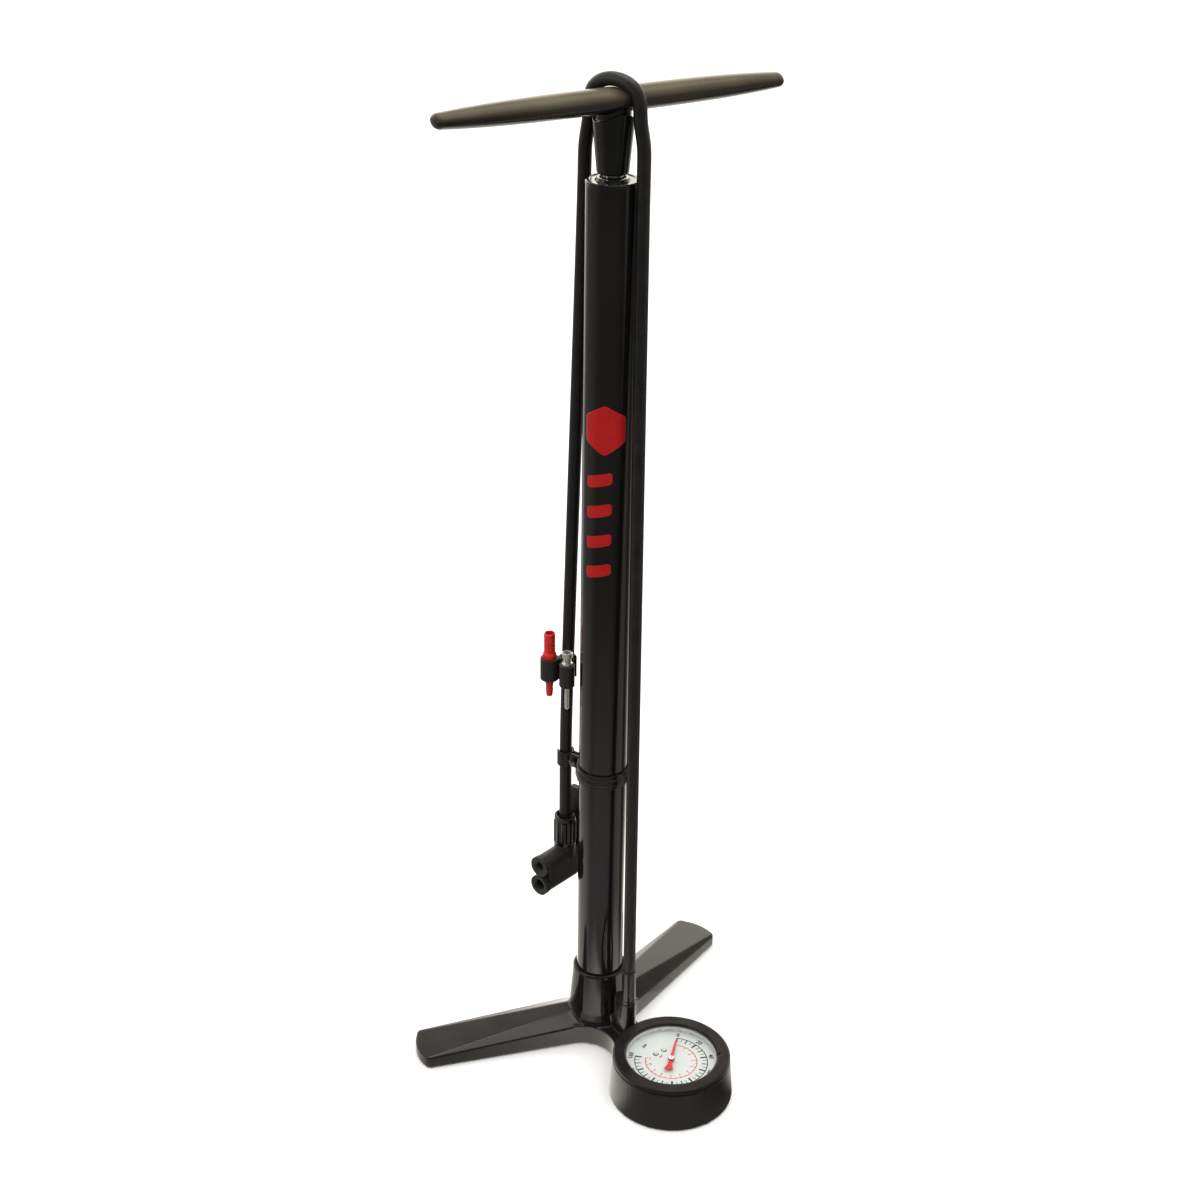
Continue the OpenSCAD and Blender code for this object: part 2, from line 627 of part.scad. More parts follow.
// flat tube bent to an arc, drawn from a start direction
module tube_arc(start, size) rotate([0, 0, start]) rotate_extrude(angle = 250)
  translate([27, 0]) square(size, center = true);
module bourdon_tube() color([0.82, 0.66, 0.34]) at_gauge() translate([0, 0, 13]) difference() {
  tube_arc(105.8, [2.4, 8]);
  tube_arc(104, [1.4, 7]);
}
module movement_frame() color([0.78, 0.63, 0.3]) at_gauge() difference() {
  union() {
    translate([-6, -24, 5.6]) cube([12, 49.9, 1.4]);
    translate([-6, -24, 17]) cube([12, 32, 1.2]);
    for (x = [-4.5, 4.5]) for (y = [-22.5, 6.5]) translate([x, y, 0]) post(1.2, 6.5, 17.5);
    at_dial_screws() post(1.6, 6.5, dial_bottom - 0.05);
  }
  post(0.8, 5, 20);
  translate([0, sector_y, 0]) post(0.95, 5, 20);
  at_dial_screws() post(0.88, 18, 30);
}
// one straight-sided gear tooth pointing along +X
module tooth(root_r, tip_r) polygon([[root_r - 0.3, -0.3], [root_r, -0.3], [tip_r, -0.12],
  [tip_r, 0.12], [root_r, 0.3], [root_r - 0.3, 0.3]]);
// wedge that opens along +X
module wedge(half_angle)
  polygon([[0, 0], [30, -30 * tan(half_angle)], [30, 30 * tan(half_angle)]]);
module sector_gear() color([0.8, 0.66, 0.33]) at_gauge() translate([0, sector_y, 0]) {
  rotate([0, 0, 90 - 18]) translate([0, 0, 10.5]) linear_extrude(3) {
    difference() {
      intersection() {
        circle(r = 17.5);
        wedge(26);
      }
      intersection() {
        difference() {
          circle(r = 14.6);
          circle(r = 4);
        }
        wedge(19);
      }
    }
    for (k = [-6:6]) rotate(4 * k) tooth(17.5, 18.35);
    translate([-5, -1.2]) square([6, 2.4]);
    circle(r = 2.2);
  }
  post(0.9, 5.8, 17.9);
}
module pointer_shaft() color([0.7, 0.7, 0.72]) at_gauge() {
  post(shaft_r, 5.8, 29.2);
  translate([0, 0, 10.2]) linear_extrude(3.6) {
    circle(r = 1.95);
    for (a = [0:30:330]) rotate(a - 90) tooth(1.95, 2.75);
  }
}
module pointer() color([0.85, 0.06, 0.05])
  at_gauge() rotate([0, 0, zero_angle]) translate([0, 0, 28.5]) difference() {
    linear_extrude(0.6) {
      circle(r = 2.6);
      polygon([[0, -1.3], [16, -0.9], [23.6, -0.35], [23.6, 0.35], [16, 0.9], [0, 1.3]]);
      // tail
      polygon([[0, 1], [-6, 1.6], [-7.5, 2.2], [-12, 3.4],
        [-12, -3.4], [-7.5, -2.2], [-6, -1.6], [0, -1]]);
    }
    post(shaft_hole_r, -1, 2);
  }
module pointer_cap() color([0.9, 0.9, 0.9]) at_gauge() difference() {
  lathe([[0, 29.12], [2.3, 29.12], [2.3, 29.9], [1.6, 30.6], [0, 30.6]]);
  post(shaft_hole_r, 28, 29.6);
}
module gauge_dial() color([0.94, 0.94, 0.92]) at_gauge() difference() {
  post(36.6, dial_bottom, dial_top);
  post(1.4, 20, 30);
  at_dial_screws() post(0.95, 20, 30);
}
module dial_screws() color([0.7, 0.7, 0.7]) at_gauge() at_dial_screws() difference() {
  union() {
    post(0.85, 20, 27);
    post(1.75, dial_top + 0.02, 27.5);
  }
  translate([-3, -0.25, 27.1]) cube([6, 0.5, 1]);
}
module dial_ring() color([0.8, 0.8, 0.8]) at_gauge() lathe([[34.6, dial_top + 0.05],
  [36.6, dial_top + 0.05], [36.6, 31.1], [33.5, 31.1], [33.5, 30.3]], $fn = 180);
module gauge_lens() color([0.85, 0.9, 0.92, 0.35]) at_gauge() post(36.8, 31.25, 32.65, $fn = 180);
module gauge_bezel() color([0.06, 0.06, 0.06]) at_gauge() difference() {
  lathe([[window_radius, 32.8], [37.9, 32.8], [38, 27.2], [39.3, 27.2],
    [39.3, cup_top + 0.7], [43.5, cup_top + 0.7], [43.4, bezel_height - 1.2],
    [42.2, bezel_height], [window_radius + 0.6, bezel_height],
    [window_radius, bezel_height - 0.6]], $fn = 180);
  // small notch in the rim of the window
  rotate([0, 0, -36]) translate([window_radius + 1.2, 0, 38.9])
    rotate([0, 0, 45]) cube([2.4, 2.4, 12], center = true);
}

// moves a piece from the barrel axis to its place over the footprint
module placed() translate([0, foot_y, 0]) children();

placed() base();
placed() foot_pads();
placed() valve_plug();
placed() valve_seat();
placed() check_ball();
placed() valve_spring();
placed() barrel_gasket();
placed() barrel();
placed() top_cap();
placed() rod_bush();
placed() barrel_clip();
placed() clip_screw();
placed() piston_rod();
placed() rod_plug();
placed() piston();
placed() piston_ring();
placed() piston_bolt();
placed() stop_bumper();
placed() handle_stem();
placed() handle();
placed() handle_bolt();
placed() hose();
placed() hose_ferrule();
placed() base_nipple();
placed() head_collar();
placed() head_nipple();
placed() head_body();
placed() wide_port_nut();
placed() narrow_port_nut();
placed() wide_grommet();
placed() narrow_grommet();
placed() head_plunger();
placed() head_lever();
placed() lever_pin();
placed() adapter_holder();
placed() valve_adapter();
placed() needle_hub();
placed() needle_tube();
placed() gauge_can();
placed() gauge_socket();
placed() bourdon_tube();
placed() movement_frame();
placed() sector_gear();
placed() pointer_shaft();
placed() pointer();
placed() pointer_cap();
placed() gauge_dial();
placed() dial_screws();
placed() dial_ring();
placed() gauge_lens();
placed() gauge_bezel();
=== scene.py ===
# A floor pump with a round gauge on its base, in metres with Z up.
# The barrel stands upright on the line x = 0, y = 38.12 mm. The gauge lies flat towards -y and
# the handle runs roughly along x. The hose leaves the base between barrel and gauge, loops over
# the handle and comes down to the head, which is clipped to the barrel towards +y.
# Sizes are in mm and measured from the barrel axis, except where a comment says otherwise.
import bpy, bmesh, math, json
import numpy as np
from mathutils import Vector, Matrix


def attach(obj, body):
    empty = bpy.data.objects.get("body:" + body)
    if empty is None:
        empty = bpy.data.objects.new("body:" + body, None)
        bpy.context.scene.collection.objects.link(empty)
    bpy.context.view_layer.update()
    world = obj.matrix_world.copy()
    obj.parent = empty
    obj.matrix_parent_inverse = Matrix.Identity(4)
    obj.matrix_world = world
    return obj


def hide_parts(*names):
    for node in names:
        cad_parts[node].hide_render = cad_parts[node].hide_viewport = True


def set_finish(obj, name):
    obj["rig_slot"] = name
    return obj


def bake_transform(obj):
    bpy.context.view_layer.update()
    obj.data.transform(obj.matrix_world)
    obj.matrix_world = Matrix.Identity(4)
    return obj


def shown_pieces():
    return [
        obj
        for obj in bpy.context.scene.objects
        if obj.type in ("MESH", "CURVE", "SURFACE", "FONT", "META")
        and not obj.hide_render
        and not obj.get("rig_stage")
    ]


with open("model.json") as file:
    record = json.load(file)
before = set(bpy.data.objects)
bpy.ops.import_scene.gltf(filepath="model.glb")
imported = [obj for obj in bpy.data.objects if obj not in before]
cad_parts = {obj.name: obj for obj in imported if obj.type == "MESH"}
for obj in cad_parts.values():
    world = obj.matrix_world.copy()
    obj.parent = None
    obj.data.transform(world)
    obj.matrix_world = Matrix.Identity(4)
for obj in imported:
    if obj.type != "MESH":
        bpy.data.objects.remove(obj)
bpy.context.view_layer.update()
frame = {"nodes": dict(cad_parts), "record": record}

CAD = frame["nodes"]
scene = bpy.context.scene
collection = scene.collection

# ------------------------------------------------------------------ driving sizes

MM = 0.001
BARREL_Y = 38.12                       # the barrel axis along y in the frame
BARREL_R = 17.5
BARREL_BORE = 16.1
BARREL_TOP = 666

GAUGE = (0.0, -92.4)                   # gauge axis
GAUGE_FRAME_Y = (GAUGE[1] + BARREL_Y) * MM   # the same along y in the frame, metres
BARREL_FRAME_Y = BARREL_Y * MM
DIAL_R = 36.6
DIAL_TOP = 26.5
INK_TOP = 26.58
SCALE_START = 43                       # azimuth of the scale's zero, degrees
SCALE_SWEEP = 270                      # degrees, clockwise
SCALE_FULL = 160                       # psi
PSI_PER_BAR = 14.5038

HANDLE_Z = 718.7
HANDLE_TURN = math.radians(-5.3)
GRIP_HALF_WIDTH = 12.35                # the grip's section at its middle
GRIP_HALF_HEIGHT = 7.8

HOSE_OUTLET = (0, -38.0)               # where the hose leaves the base
HOSE_R = 4.5
LOOP = math.radians(109.2)             # azimuth of the vertical plane the hose hangs in


# ------------------------------------------------------------------ mesh helpers

def link(name, mesh):
    ob = bpy.data.objects.new(name, mesh)
    collection.objects.link(ob)
    return ob


def make(name, verts, faces, smooth=True):
    """An object from points in mm, measured from the barrel axis."""
    mesh = bpy.data.meshes.new(name)
    points = [(float(x) * MM, (float(y) + BARREL_Y) * MM, float(z) * MM) for x, y, z in verts]
    mesh.from_pydata(points, [], faces)
    mesh.validate()
    mesh.update()
    if smooth:
        mesh.polygons.foreach_set("use_smooth", [True] * len(mesh.polygons))
    return link(name, mesh)


def fix_normals(ob, merge=False):
    """Turns all faces outward, after merging coincident points if asked."""
    bm = bmesh.new()
    bm.from_mesh(ob.data)
    if merge:
        bmesh.ops.remove_doubles(bm, verts=bm.verts, dist=1e-7)
    bmesh.ops.recalc_face_normals(bm, faces=bm.faces)
    bm.to_mesh(ob.data)
    bm.free()
    return ob


def fillet(outline, radius, arc_steps=5, closed=True):
    """Rounds the corners of a 2D outline. A point is (x, y) or (x, y, its own radius)."""
    rounded, count = [], len(outline)
    for i, point in enumerate(outline):
        wanted = point[2] if len(point) > 2 else radius
        corner = np.array(point[:2], float)
        before = np.array(outline[i - 1][:2], float) - corner
        after = np.array(outline[(i + 1) % count][:2], float) - corner
        len_before, len_after = np.linalg.norm(before), np.linalg.norm(after)
        is_end = not closed and i in (0, count - 1)
        if is_end or wanted <= 0 or min(len_before, len_after) < 1e-6:
            rounded.append((point[0], point[1]))
            continue
        before, after = before / len_before, after / len_after
        angle = math.acos(max(-1, min(1, float(before @ after))))
        if angle > math.pi - 0.02:
            rounded.append((point[0], point[1]))
            continue
        # the arc uses at most 46 % of either neighbouring edge
        cut = min(wanted / math.tan(angle / 2), len_before * 0.46, len_after * 0.46)
        fitted = cut * math.tan(angle / 2)
        bisector = (before + after) / np.linalg.norm(before + after)
        centre = corner + bisector * (fitted / math.sin(angle / 2))
        start = corner + before * cut - centre
        end = corner + after * cut - centre
        start_angle = math.atan2(start[1], start[0])
        end_angle = math.atan2(end[1], end[0])
        turn = (end_angle - start_angle + math.pi) % (2 * math.pi) - math.pi
        for k in range(arc_steps + 1):
            q = start_angle + turn * k / arc_steps
            rounded.append((centre[0] + fitted * math.cos(q), centre[1] + fitted * math.sin(q)))
    return rounded


def densify(outline, step, closed):
    """Splits long edges into pieces of at least `step`."""
    dense, count = [], len(outline)
    for i in range(count if closed else count - 1):
        a, b = np.array(outline[i]), np.array(outline[(i + 1) % count])
        pieces = max(1, int(np.linalg.norm(b - a) / step))
        dense += [tuple(a + (b - a) * j / pieces) for j in range(pieces)]
    if not closed:
        dense.append(tuple(outline[-1]))
    return dense


def bridge(first, second):
    """Faces between two rings of point numbers; a ring of one point is a pole."""
    faces = []
    count = max(len(first), len(second))
    for k in range(count):
        k2 = (k + 1) % count
        if len(first) == 1:
            faces.append((first[0], second[k], second[k2]))
        elif len(second) == 1:
            faces.append((first[k], second[0], first[k2]))
        else:
            faces.append((first[k], second[k], second[k2], first[k2]))
    return faces


def lathe(name, outline, segments, step, centre=(0, 0), warp=None):
    """Turns an outline of (r, z) round a vertical axis at `centre`.
    It runs from axis to axis, or is closed if it never meets the axis."""
    meets_axis = outline[0][0] < 1e-6 or outline[-1][0] < 1e-6
    verts, rings = [], []
    for r, z in densify(outline, step, closed=not meets_axis):
        if r < 1e-6:
            rings.append([len(verts)])
            verts.append((0, 0, z))
            continue
        rings.append(list(range(len(verts), len(verts) + segments)))
        for k in range(segments):
            q = 2 * math.pi * k / segments
            verts.append((r * math.cos(q), r * math.sin(q), z))
    faces = []
    for i in range(len(rings) - 1 if meets_axis else len(rings)):
        faces += bridge(rings[i], rings[(i + 1) % len(rings)])
    verts = np.array(verts, float)
    if warp is not None:
        verts = warp(verts)
    verts[:, 0] += centre[0]
    verts[:, 1] += centre[1]
    ob = fix_normals(make(name, verts, faces))
    modifier = ob.modifiers.new("wn", "WEIGHTED_NORMAL")
    modifier.keep_sharp = True
    modifier.weight = 60
    return ob


def sweep(name, path, radius, segments, side):
    """A round tube with closed ends along a path. `side` sets where each ring starts."""
    path = np.array(path, float)
    tangent = np.zeros_like(path)
    tangent[1:-1] = path[2:] - path[:-2]
    tangent[0], tangent[-1] = path[1] - path[0], path[-1] - path[-2]
    tangent /= np.linalg.norm(tangent, axis=1)[:, None]
    side = np.array(side, float)
    across = side - (tangent @ side)[:, None] * tangent
    across /= np.linalg.norm(across, axis=1)[:, None]
    normal = np.cross(tangent, across)
    q = np.linspace(0, 2 * math.pi, segments, endpoint=False)
    circle = (np.cos(q)[None, :, None] * across[:, None, :]
              + np.sin(q)[None, :, None] * normal[:, None, :])
    verts = (path[:, None, :] + radius * circle).reshape(-1, 3).tolist()
    faces = []
    for i in range(len(path) - 1):
        a, b = i * segments, (i + 1) * segments
        for k in range(segments):
            k2 = (k + 1) % segments
            faces.append((a + k, a + k2, b + k2, b + k))
    start = len(verts)
    end = start + 1
    last_ring = (len(path) - 1) * segments
    verts += [path[0].tolist(), path[-1].tolist()]
    for k in range(segments):
        k2 = (k + 1) % segments
        faces.append((start, k2, k))
        faces.append((end, last_ring + k, last_ring + k2))
    return fix_normals(make(name, verts, faces))


def relax(mesh, passes, mask=None):
    """Moves each point halfway to the mean of its neighbours, times mask(points) if given."""
    points = np.zeros(len(mesh.vertices) * 3)
    mesh.vertices.foreach_get("co", points)
    points = points.reshape(-1, 3)
    edges = np.zeros(len(mesh.edges) * 2, int)
    mesh.edges.foreach_get("vertices", edges)
    edges = edges.reshape(-1, 2)
    count = len(points)
    neighbours = np.bincount(edges.ravel(), minlength=count).astype(float)
    neighbours[neighbours == 0] = 1
    for _ in range(passes):
        total = np.zeros_like(points)
        for c in range(3):
            total[:, c] = (np.bincount(edges[:, 0], points[edges[:, 1], c], count)
                           + np.bincount(edges[:, 1], points[edges[:, 0], c], count))
        move = total / neighbours[:, None] - points
        if mask is not None:
            move *= mask(points)[:, None]
        points = points + 0.5 * move
    mesh.vertices.foreach_set("co", points.ravel())
    mesh.update()


# ------------------------------------------------------------------ shader helpers

def empty_tree(owner, output_kind="ShaderNodeOutputMaterial"):
    """Clears the owner's nodes. Returns its tree and the input of a new output node."""
    owner.use_nodes = True
    tree = owner.node_tree
    tree.nodes.clear()
    return tree, tree.nodes.new(output_kind).inputs[0]


def feed(tree, target, value):
    """Links a socket or a Shade to an input, or stores a plain value in it."""
    value = getattr(value, "socket", value)
    if isinstance(value, bpy.types.NodeSocket):
        tree.links.new(value, target)
    else:
        target.default_value = value


def add_node(tree, kind, inputs=None, **properties):
    made = tree.nodes.new(kind)
    for key, value in properties.items():
        setattr(made, key, value)
    for key, value in (inputs or {}).items():
        feed(tree, made.inputs[key], value)
    return made


def add_math(tree, operation, *values):
    made = add_node(tree, "ShaderNodeMath", dict(enumerate(values)), operation=operation)
    return Shade(tree, made.outputs[0])


def vector_math(tree, operation, *vectors, output="Vector"):
    made = add_node(tree, "ShaderNodeVectorMath", dict(enumerate(vectors)), operation=operation)
    return made.outputs[output]


def map_range(tree, value, from_min, from_max, to_min, to_max, interpolation="LINEAR"):
    inputs = dict(enumerate((value, from_min, from_max, to_min, to_max)))
    made = add_node(tree, "ShaderNodeMapRange", inputs, interpolation_type=interpolation)
    return made.outputs[0]


class Shade:
    """A shader value that adds and multiplies."""

    def __init__(self, tree, socket):
        self.tree = tree
        self.socket = socket

    def __add__(self, other):
        return add_math(self.tree, "ADD", self, other)

    def __mul__(self, other):
        return add_math(self.tree, "MULTIPLY", self, other)

    def size(self):
        return add_math(self.tree, "ABSOLUTE", self)

    def ramp(self, start, end, low=0.0, high=1.0):
        """Goes smoothly from low at `start` to high at `end`; start may be above end."""
        return Shade(self.tree, map_range(self.tree, self, start, end, low, high, "SMOOTHSTEP"))

    def fade(self, start, end):
        """1 up to `start`, 0 from `end`"""
        return self.ramp(start, end, 1.0, 0.0)

    def bump(self, centre, reach):
        """1 round the centre, falling to 0 at the distance `reach`"""
        distance = add_math(self.tree, "SUBTRACT", self, centre).size()
        return distance.fade(reach * 0.45, reach)


def color_ramp(tree, factor, stops):
    """Stops are (position, colour), two or more."""
    made = add_node(tree, "ShaderNodeValToRGB", {0: factor})
    elements = made.color_ramp.elements
    for i, (position, color) in enumerate(stops):
        element = elements[i] if i < 2 else elements.new(position)
        element.position = position
        element.color = color
    return made.outputs[0]


def contrast(tree, factor, black, white):
    return color_ramp(tree, factor, [(black, (0, 0, 0, 1)), (white, (1, 1, 1, 1))])


def mix_color(tree, factor, a, b, blend="MIX"):
    # 0, 6 and 7 are the factor and the two colours
    return add_node(tree, "ShaderNodeMix", {0: factor, 6: a, 7: b},
                    data_type="RGBA", blend_type=blend).outputs[2]


def mix_number(tree, factor, a, b):
    return add_node(tree, "ShaderNodeMix", {0: factor, 2: a, 3: b}, data_type="FLOAT").outputs[0]


def mix_shader(tree, factor, a, b):
    return add_node(tree, "ShaderNodeMixShader", {0: factor, 1: a, 2: b}).outputs[0]


def noise(tree, vector, scale, detail, distortion=0.0):
    return add_node(tree, "ShaderNodeTexNoise", {
        "Vector": vector, "Scale": scale, "Detail": detail, "Distortion": distortion}).outputs[0]


def object_coords(tree, scale=(1, 1, 1)):
    source = add_node(tree, "ShaderNodeTexCoord").outputs["Object"]
    return add_node(tree, "ShaderNodeMapping", {0: source, "Scale": scale}).outputs[0]


def height_of(tree, vector):
    return add_node(tree, "ShaderNodeSeparateXYZ", {0: vector}).outputs[2]


def normal_height(tree):
    """1 on surfaces that face up, -1 on those that face down"""
    return height_of(tree, add_node(tree, "ShaderNodeNewGeometry").outputs["Normal"])


def offset_from(tree, position, axis_y):
    """Position measured from a point on the floor at x = 0, y = axis_y (metres)."""
    return vector_math(tree, "SUBTRACT", position, (0, axis_y, 0))


def flatten(tree, vector):
    return vector_math(tree, "MULTIPLY", vector, (1, 1, 0))


def length(tree, vector):
    return vector_math(tree, "LENGTH", vector, output="Value")


def axis_distance(tree, position, axis_y):
    """Horizontal distance from the upright axis at y = axis_y, metres."""
    return length(tree, flatten(tree, offset_from(tree, position, axis_y)))


# ------------------------------------------------------------------ materials

SCRATCHES = dict(scale=260, detail=2, distortion=0.6)
SCRATCH_STRETCH = (9, 9, 0.35)         # long in z
WEAR_PATCHES = dict(scale=220, detail=5)
WEAR_ROUGHNESS = 0.5
DUST_SPECKS = dict(scale=1500, detail=2)
DUST_COLOR = (0.35, 0.33, 0.3, 1)
COARSE_BUMP_DEPTH = 0.3


def surface(name, color, rough, grain, grain_bump, coarse, coarse_bump=0.0, variation=0.25,
            wear=0.0, wear_color=None, metallic=0.0, coat=0.0, coat_rough=0.05, spec=0.5,
            stretch=(1, 1, 1), scratches=0.0, dust=0.0, bump_mm=0.05):
    """A moulded, painted or metal surface.
    rough: lowest and highest roughness    grain, coarse: scales of the fine and broad noise
    grain_bump, coarse_bump: their relief   variation: share by which the colour varies
    wear, scratches, dust: amounts          stretch: scale of the grain along x, y, z"""
    material = bpy.data.materials.new(name)
    tree, output = empty_tree(material)
    shader = add_node(tree, "ShaderNodeBsdfPrincipled", {
        "Metallic": metallic, "Coat Weight": coat, "Coat Roughness": coat_rough,
        "Specular IOR Level": spec, "IOR": 1.5})
    feed(tree, output, shader.outputs[0])
    coords = object_coords(tree)
    broad = noise(tree, coords, scale=coarse, detail=4)
    fine = noise(tree, object_coords(tree, stretch), scale=grain, detail=3)
    dark = tuple(c * (1 - variation) for c in color) + (1,)
    light = tuple(min(1, c * (1 + variation)) for c in color) + (1,)
    base = mix_color(tree, contrast(tree, broad, 0.3, 0.7), dark, light)
    roughness = map_range(tree, broad, 0.3, 0.7, *rough)
    if scratches > 0:
        lines = noise(tree, object_coords(tree, SCRATCH_STRETCH), **SCRATCHES)
        marks = contrast(tree, lines, 0.64, 0.69)
        roughness = add_math(tree, "MULTIPLY_ADD", marks, scratches, roughness)
    if wear > 0:
        pointiness = add_node(tree, "ShaderNodeNewGeometry").outputs["Pointiness"]
        edges = contrast(tree, pointiness, 0.52, 0.60)
        patches = contrast(tree, noise(tree, coords, **WEAR_PATCHES), 0.42, 0.62)
        worn = add_math(tree, "MULTIPLY", edges, patches) * wear
        base = mix_color(tree, worn, base, wear_color)
        roughness = mix_number(tree, worn, roughness, WEAR_ROUGHNESS)
    if dust > 0:
        upward = map_range(tree, normal_height(tree), 0.5, 1.0, 0.0, dust)
        specks = contrast(tree, noise(tree, coords, **DUST_SPECKS), 0.55, 0.75)
        dusty = add_math(tree, "MULTIPLY", upward, specks)
        base = mix_color(tree, dusty, base, DUST_COLOR)
    feed(tree, shader.inputs["Base Color"], base)
    feed(tree, shader.inputs["Roughness"], roughness)
    relief = add_node(tree, "ShaderNodeBump", {
        "Strength": grain_bump, "Distance": bump_mm * MM, "Height": fine})
    if coarse_bump > 0:
        relief = add_node(tree, "ShaderNodeBump", {
            "Strength": coarse_bump, "Distance": COARSE_BUMP_DEPTH * MM, "Height": broad,
            "Normal": relief.outputs[0]})
    feed(tree, shader.inputs["Normal"], relief.outputs[0])
    return material


def shader_of(material):
    return next(n for n in material.node_tree.nodes if n.type == "BSDF_PRINCIPLED")


def source_of(target):
    return target.links[0].from_socket


def multiply_color(material, color):
    """Multiplies the base colour of a surface() material."""
    tree = material.node_tree
    target = shader_of(material).inputs["Base Color"]
    feed(tree, target, mix_color(tree, 1, source_of(target), color, "MULTIPLY"))


def handle_material():
    """Painted shade darkens the sides and underside, and a painted highlight lightens the top; the
    real highlight is weaker on top.
    """
    # painted shade for the sides and underside, painted highlight for the top
    side_painted_shade, top_painted_highlight = (0.42, 0.38, 0.46, 1), (1.80, 1.80, 1.62, 1)
    turning = 0.30                     # height of the normal where the top begins
    material = surface(
        "handle_satin_lacquer_painted_light", color=(0.052, 0.045, 0.030), rough=(0.19, 0.26), grain=1100,
        grain_bump=0.10, coarse=30, coarse_bump=0.01, variation=0.18, wear=0.15,
        wear_color=(0.12, 0.11, 0.09, 1), scratches=0.04, bump_mm=0.04)
    tree = material.node_tree
    up = normal_height(tree)
    # painted light: the colour is darkened on the sides and below and lightened on top, by the
    # normal's height
    multiply_color(material, mix_color(
        tree, map_range(tree, up, turning, 1.0, 0, 1), side_painted_shade, top_painted_highlight))
    feed(tree, shader_of(material).inputs["Specular IOR Level"],
         map_range(tree, up, turning, 0.1, 0.15, 0.5))
    return material


def base_material():
    """Rougher inside the gauge cup's radius, smoother inside the hub's radius."""
    cup_edge, hub_edge = (0.0465, 0.050), (0.0255, 0.030)   # where each change fades out, metres
    change = 0.10
    material = surface(
        "base_moulded_plastic", color=(0.0095, 0.0080, 0.0070), rough=(0.15, 0.22), grain=1300,
        grain_bump=0.09, coarse=45, variation=0.18, wear=0.12,
        wear_color=(0.07, 0.065, 0.058, 1), dust=0.03, bump_mm=0.04, scratches=0.03)
    tree = material.node_tree
    target = shader_of(material).inputs["Roughness"]
    position = add_node(tree, "ShaderNodeTexCoord").outputs["Object"]
    from_gauge = axis_distance(tree, position, GAUGE_FRAME_Y)
    rougher = add_math(tree, "ADD", source_of(target),
                       map_range(tree, from_gauge, *cup_edge, change, 0.0))
    from_barrel = axis_distance(tree, position, BARREL_FRAME_Y)
    less = map_range(tree, from_barrel, *hub_edge, change, 0.0)
    feed(tree, target, add_math(tree, "SUBTRACT", rougher, less))
    return material


def lens_material():
    """Clear, with reflections on the outer faces only."""
    material = bpy.data.materials.new("lens_glass")
    tree, output = empty_tree(material)
    smudges = noise(tree, object_coords(tree), scale=120, detail=4)
    glossy = add_node(tree, "ShaderNodeBsdfGlossy", {
        "Roughness": map_range(tree, smudges, 0.3, 0.7, 0.01, 0.04), "Color": (1, 1, 1, 1)})
    clear = add_node(tree, "ShaderNodeBsdfTransparent", {"Color": (0.975, 0.985, 0.98, 1)})
    fresnel = add_node(tree, "ShaderNodeFresnel", {"IOR": 1.22})
    backfacing = add_node(tree, "ShaderNodeNewGeometry").outputs["Backfacing"]
    front = add_math(tree, "SUBTRACT", 1, backfacing)
    outer = add_math(tree, "MULTIPLY", fresnel.outputs[0], front)
    feed(tree, output, mix_shader(tree, outer, clear.outputs[0], glossy.outputs[0]))
    return material


def cap_material():
    """White hub with a dark ring and a dark centre."""
    radius = 0.0025                    # metres, where the colour ramp ends
    rings = [(0.17, (0.06, 0.02, 0.02, 1)), (0.25, (1, 1, 1, 1)),
             (0.82, (1, 1, 1, 1)), (0.88, (0.02, 0.02, 0.02, 1))]
    material = surface(
        "pointer_cap_print", color=(0.85, 0.85, 0.84), rough=(0.3, 0.4), grain=1500,
        grain_bump=0.05, coarse=200, variation=0.03)
    tree = material.node_tree
    position = add_node(tree, "ShaderNodeTexCoord").outputs["Object"]
    distance = axis_distance(tree, position, GAUGE_FRAME_Y)
    multiply_color(material, color_ramp(tree, map_range(tree, distance, 0, radius, 0, 1), rings))
    return material


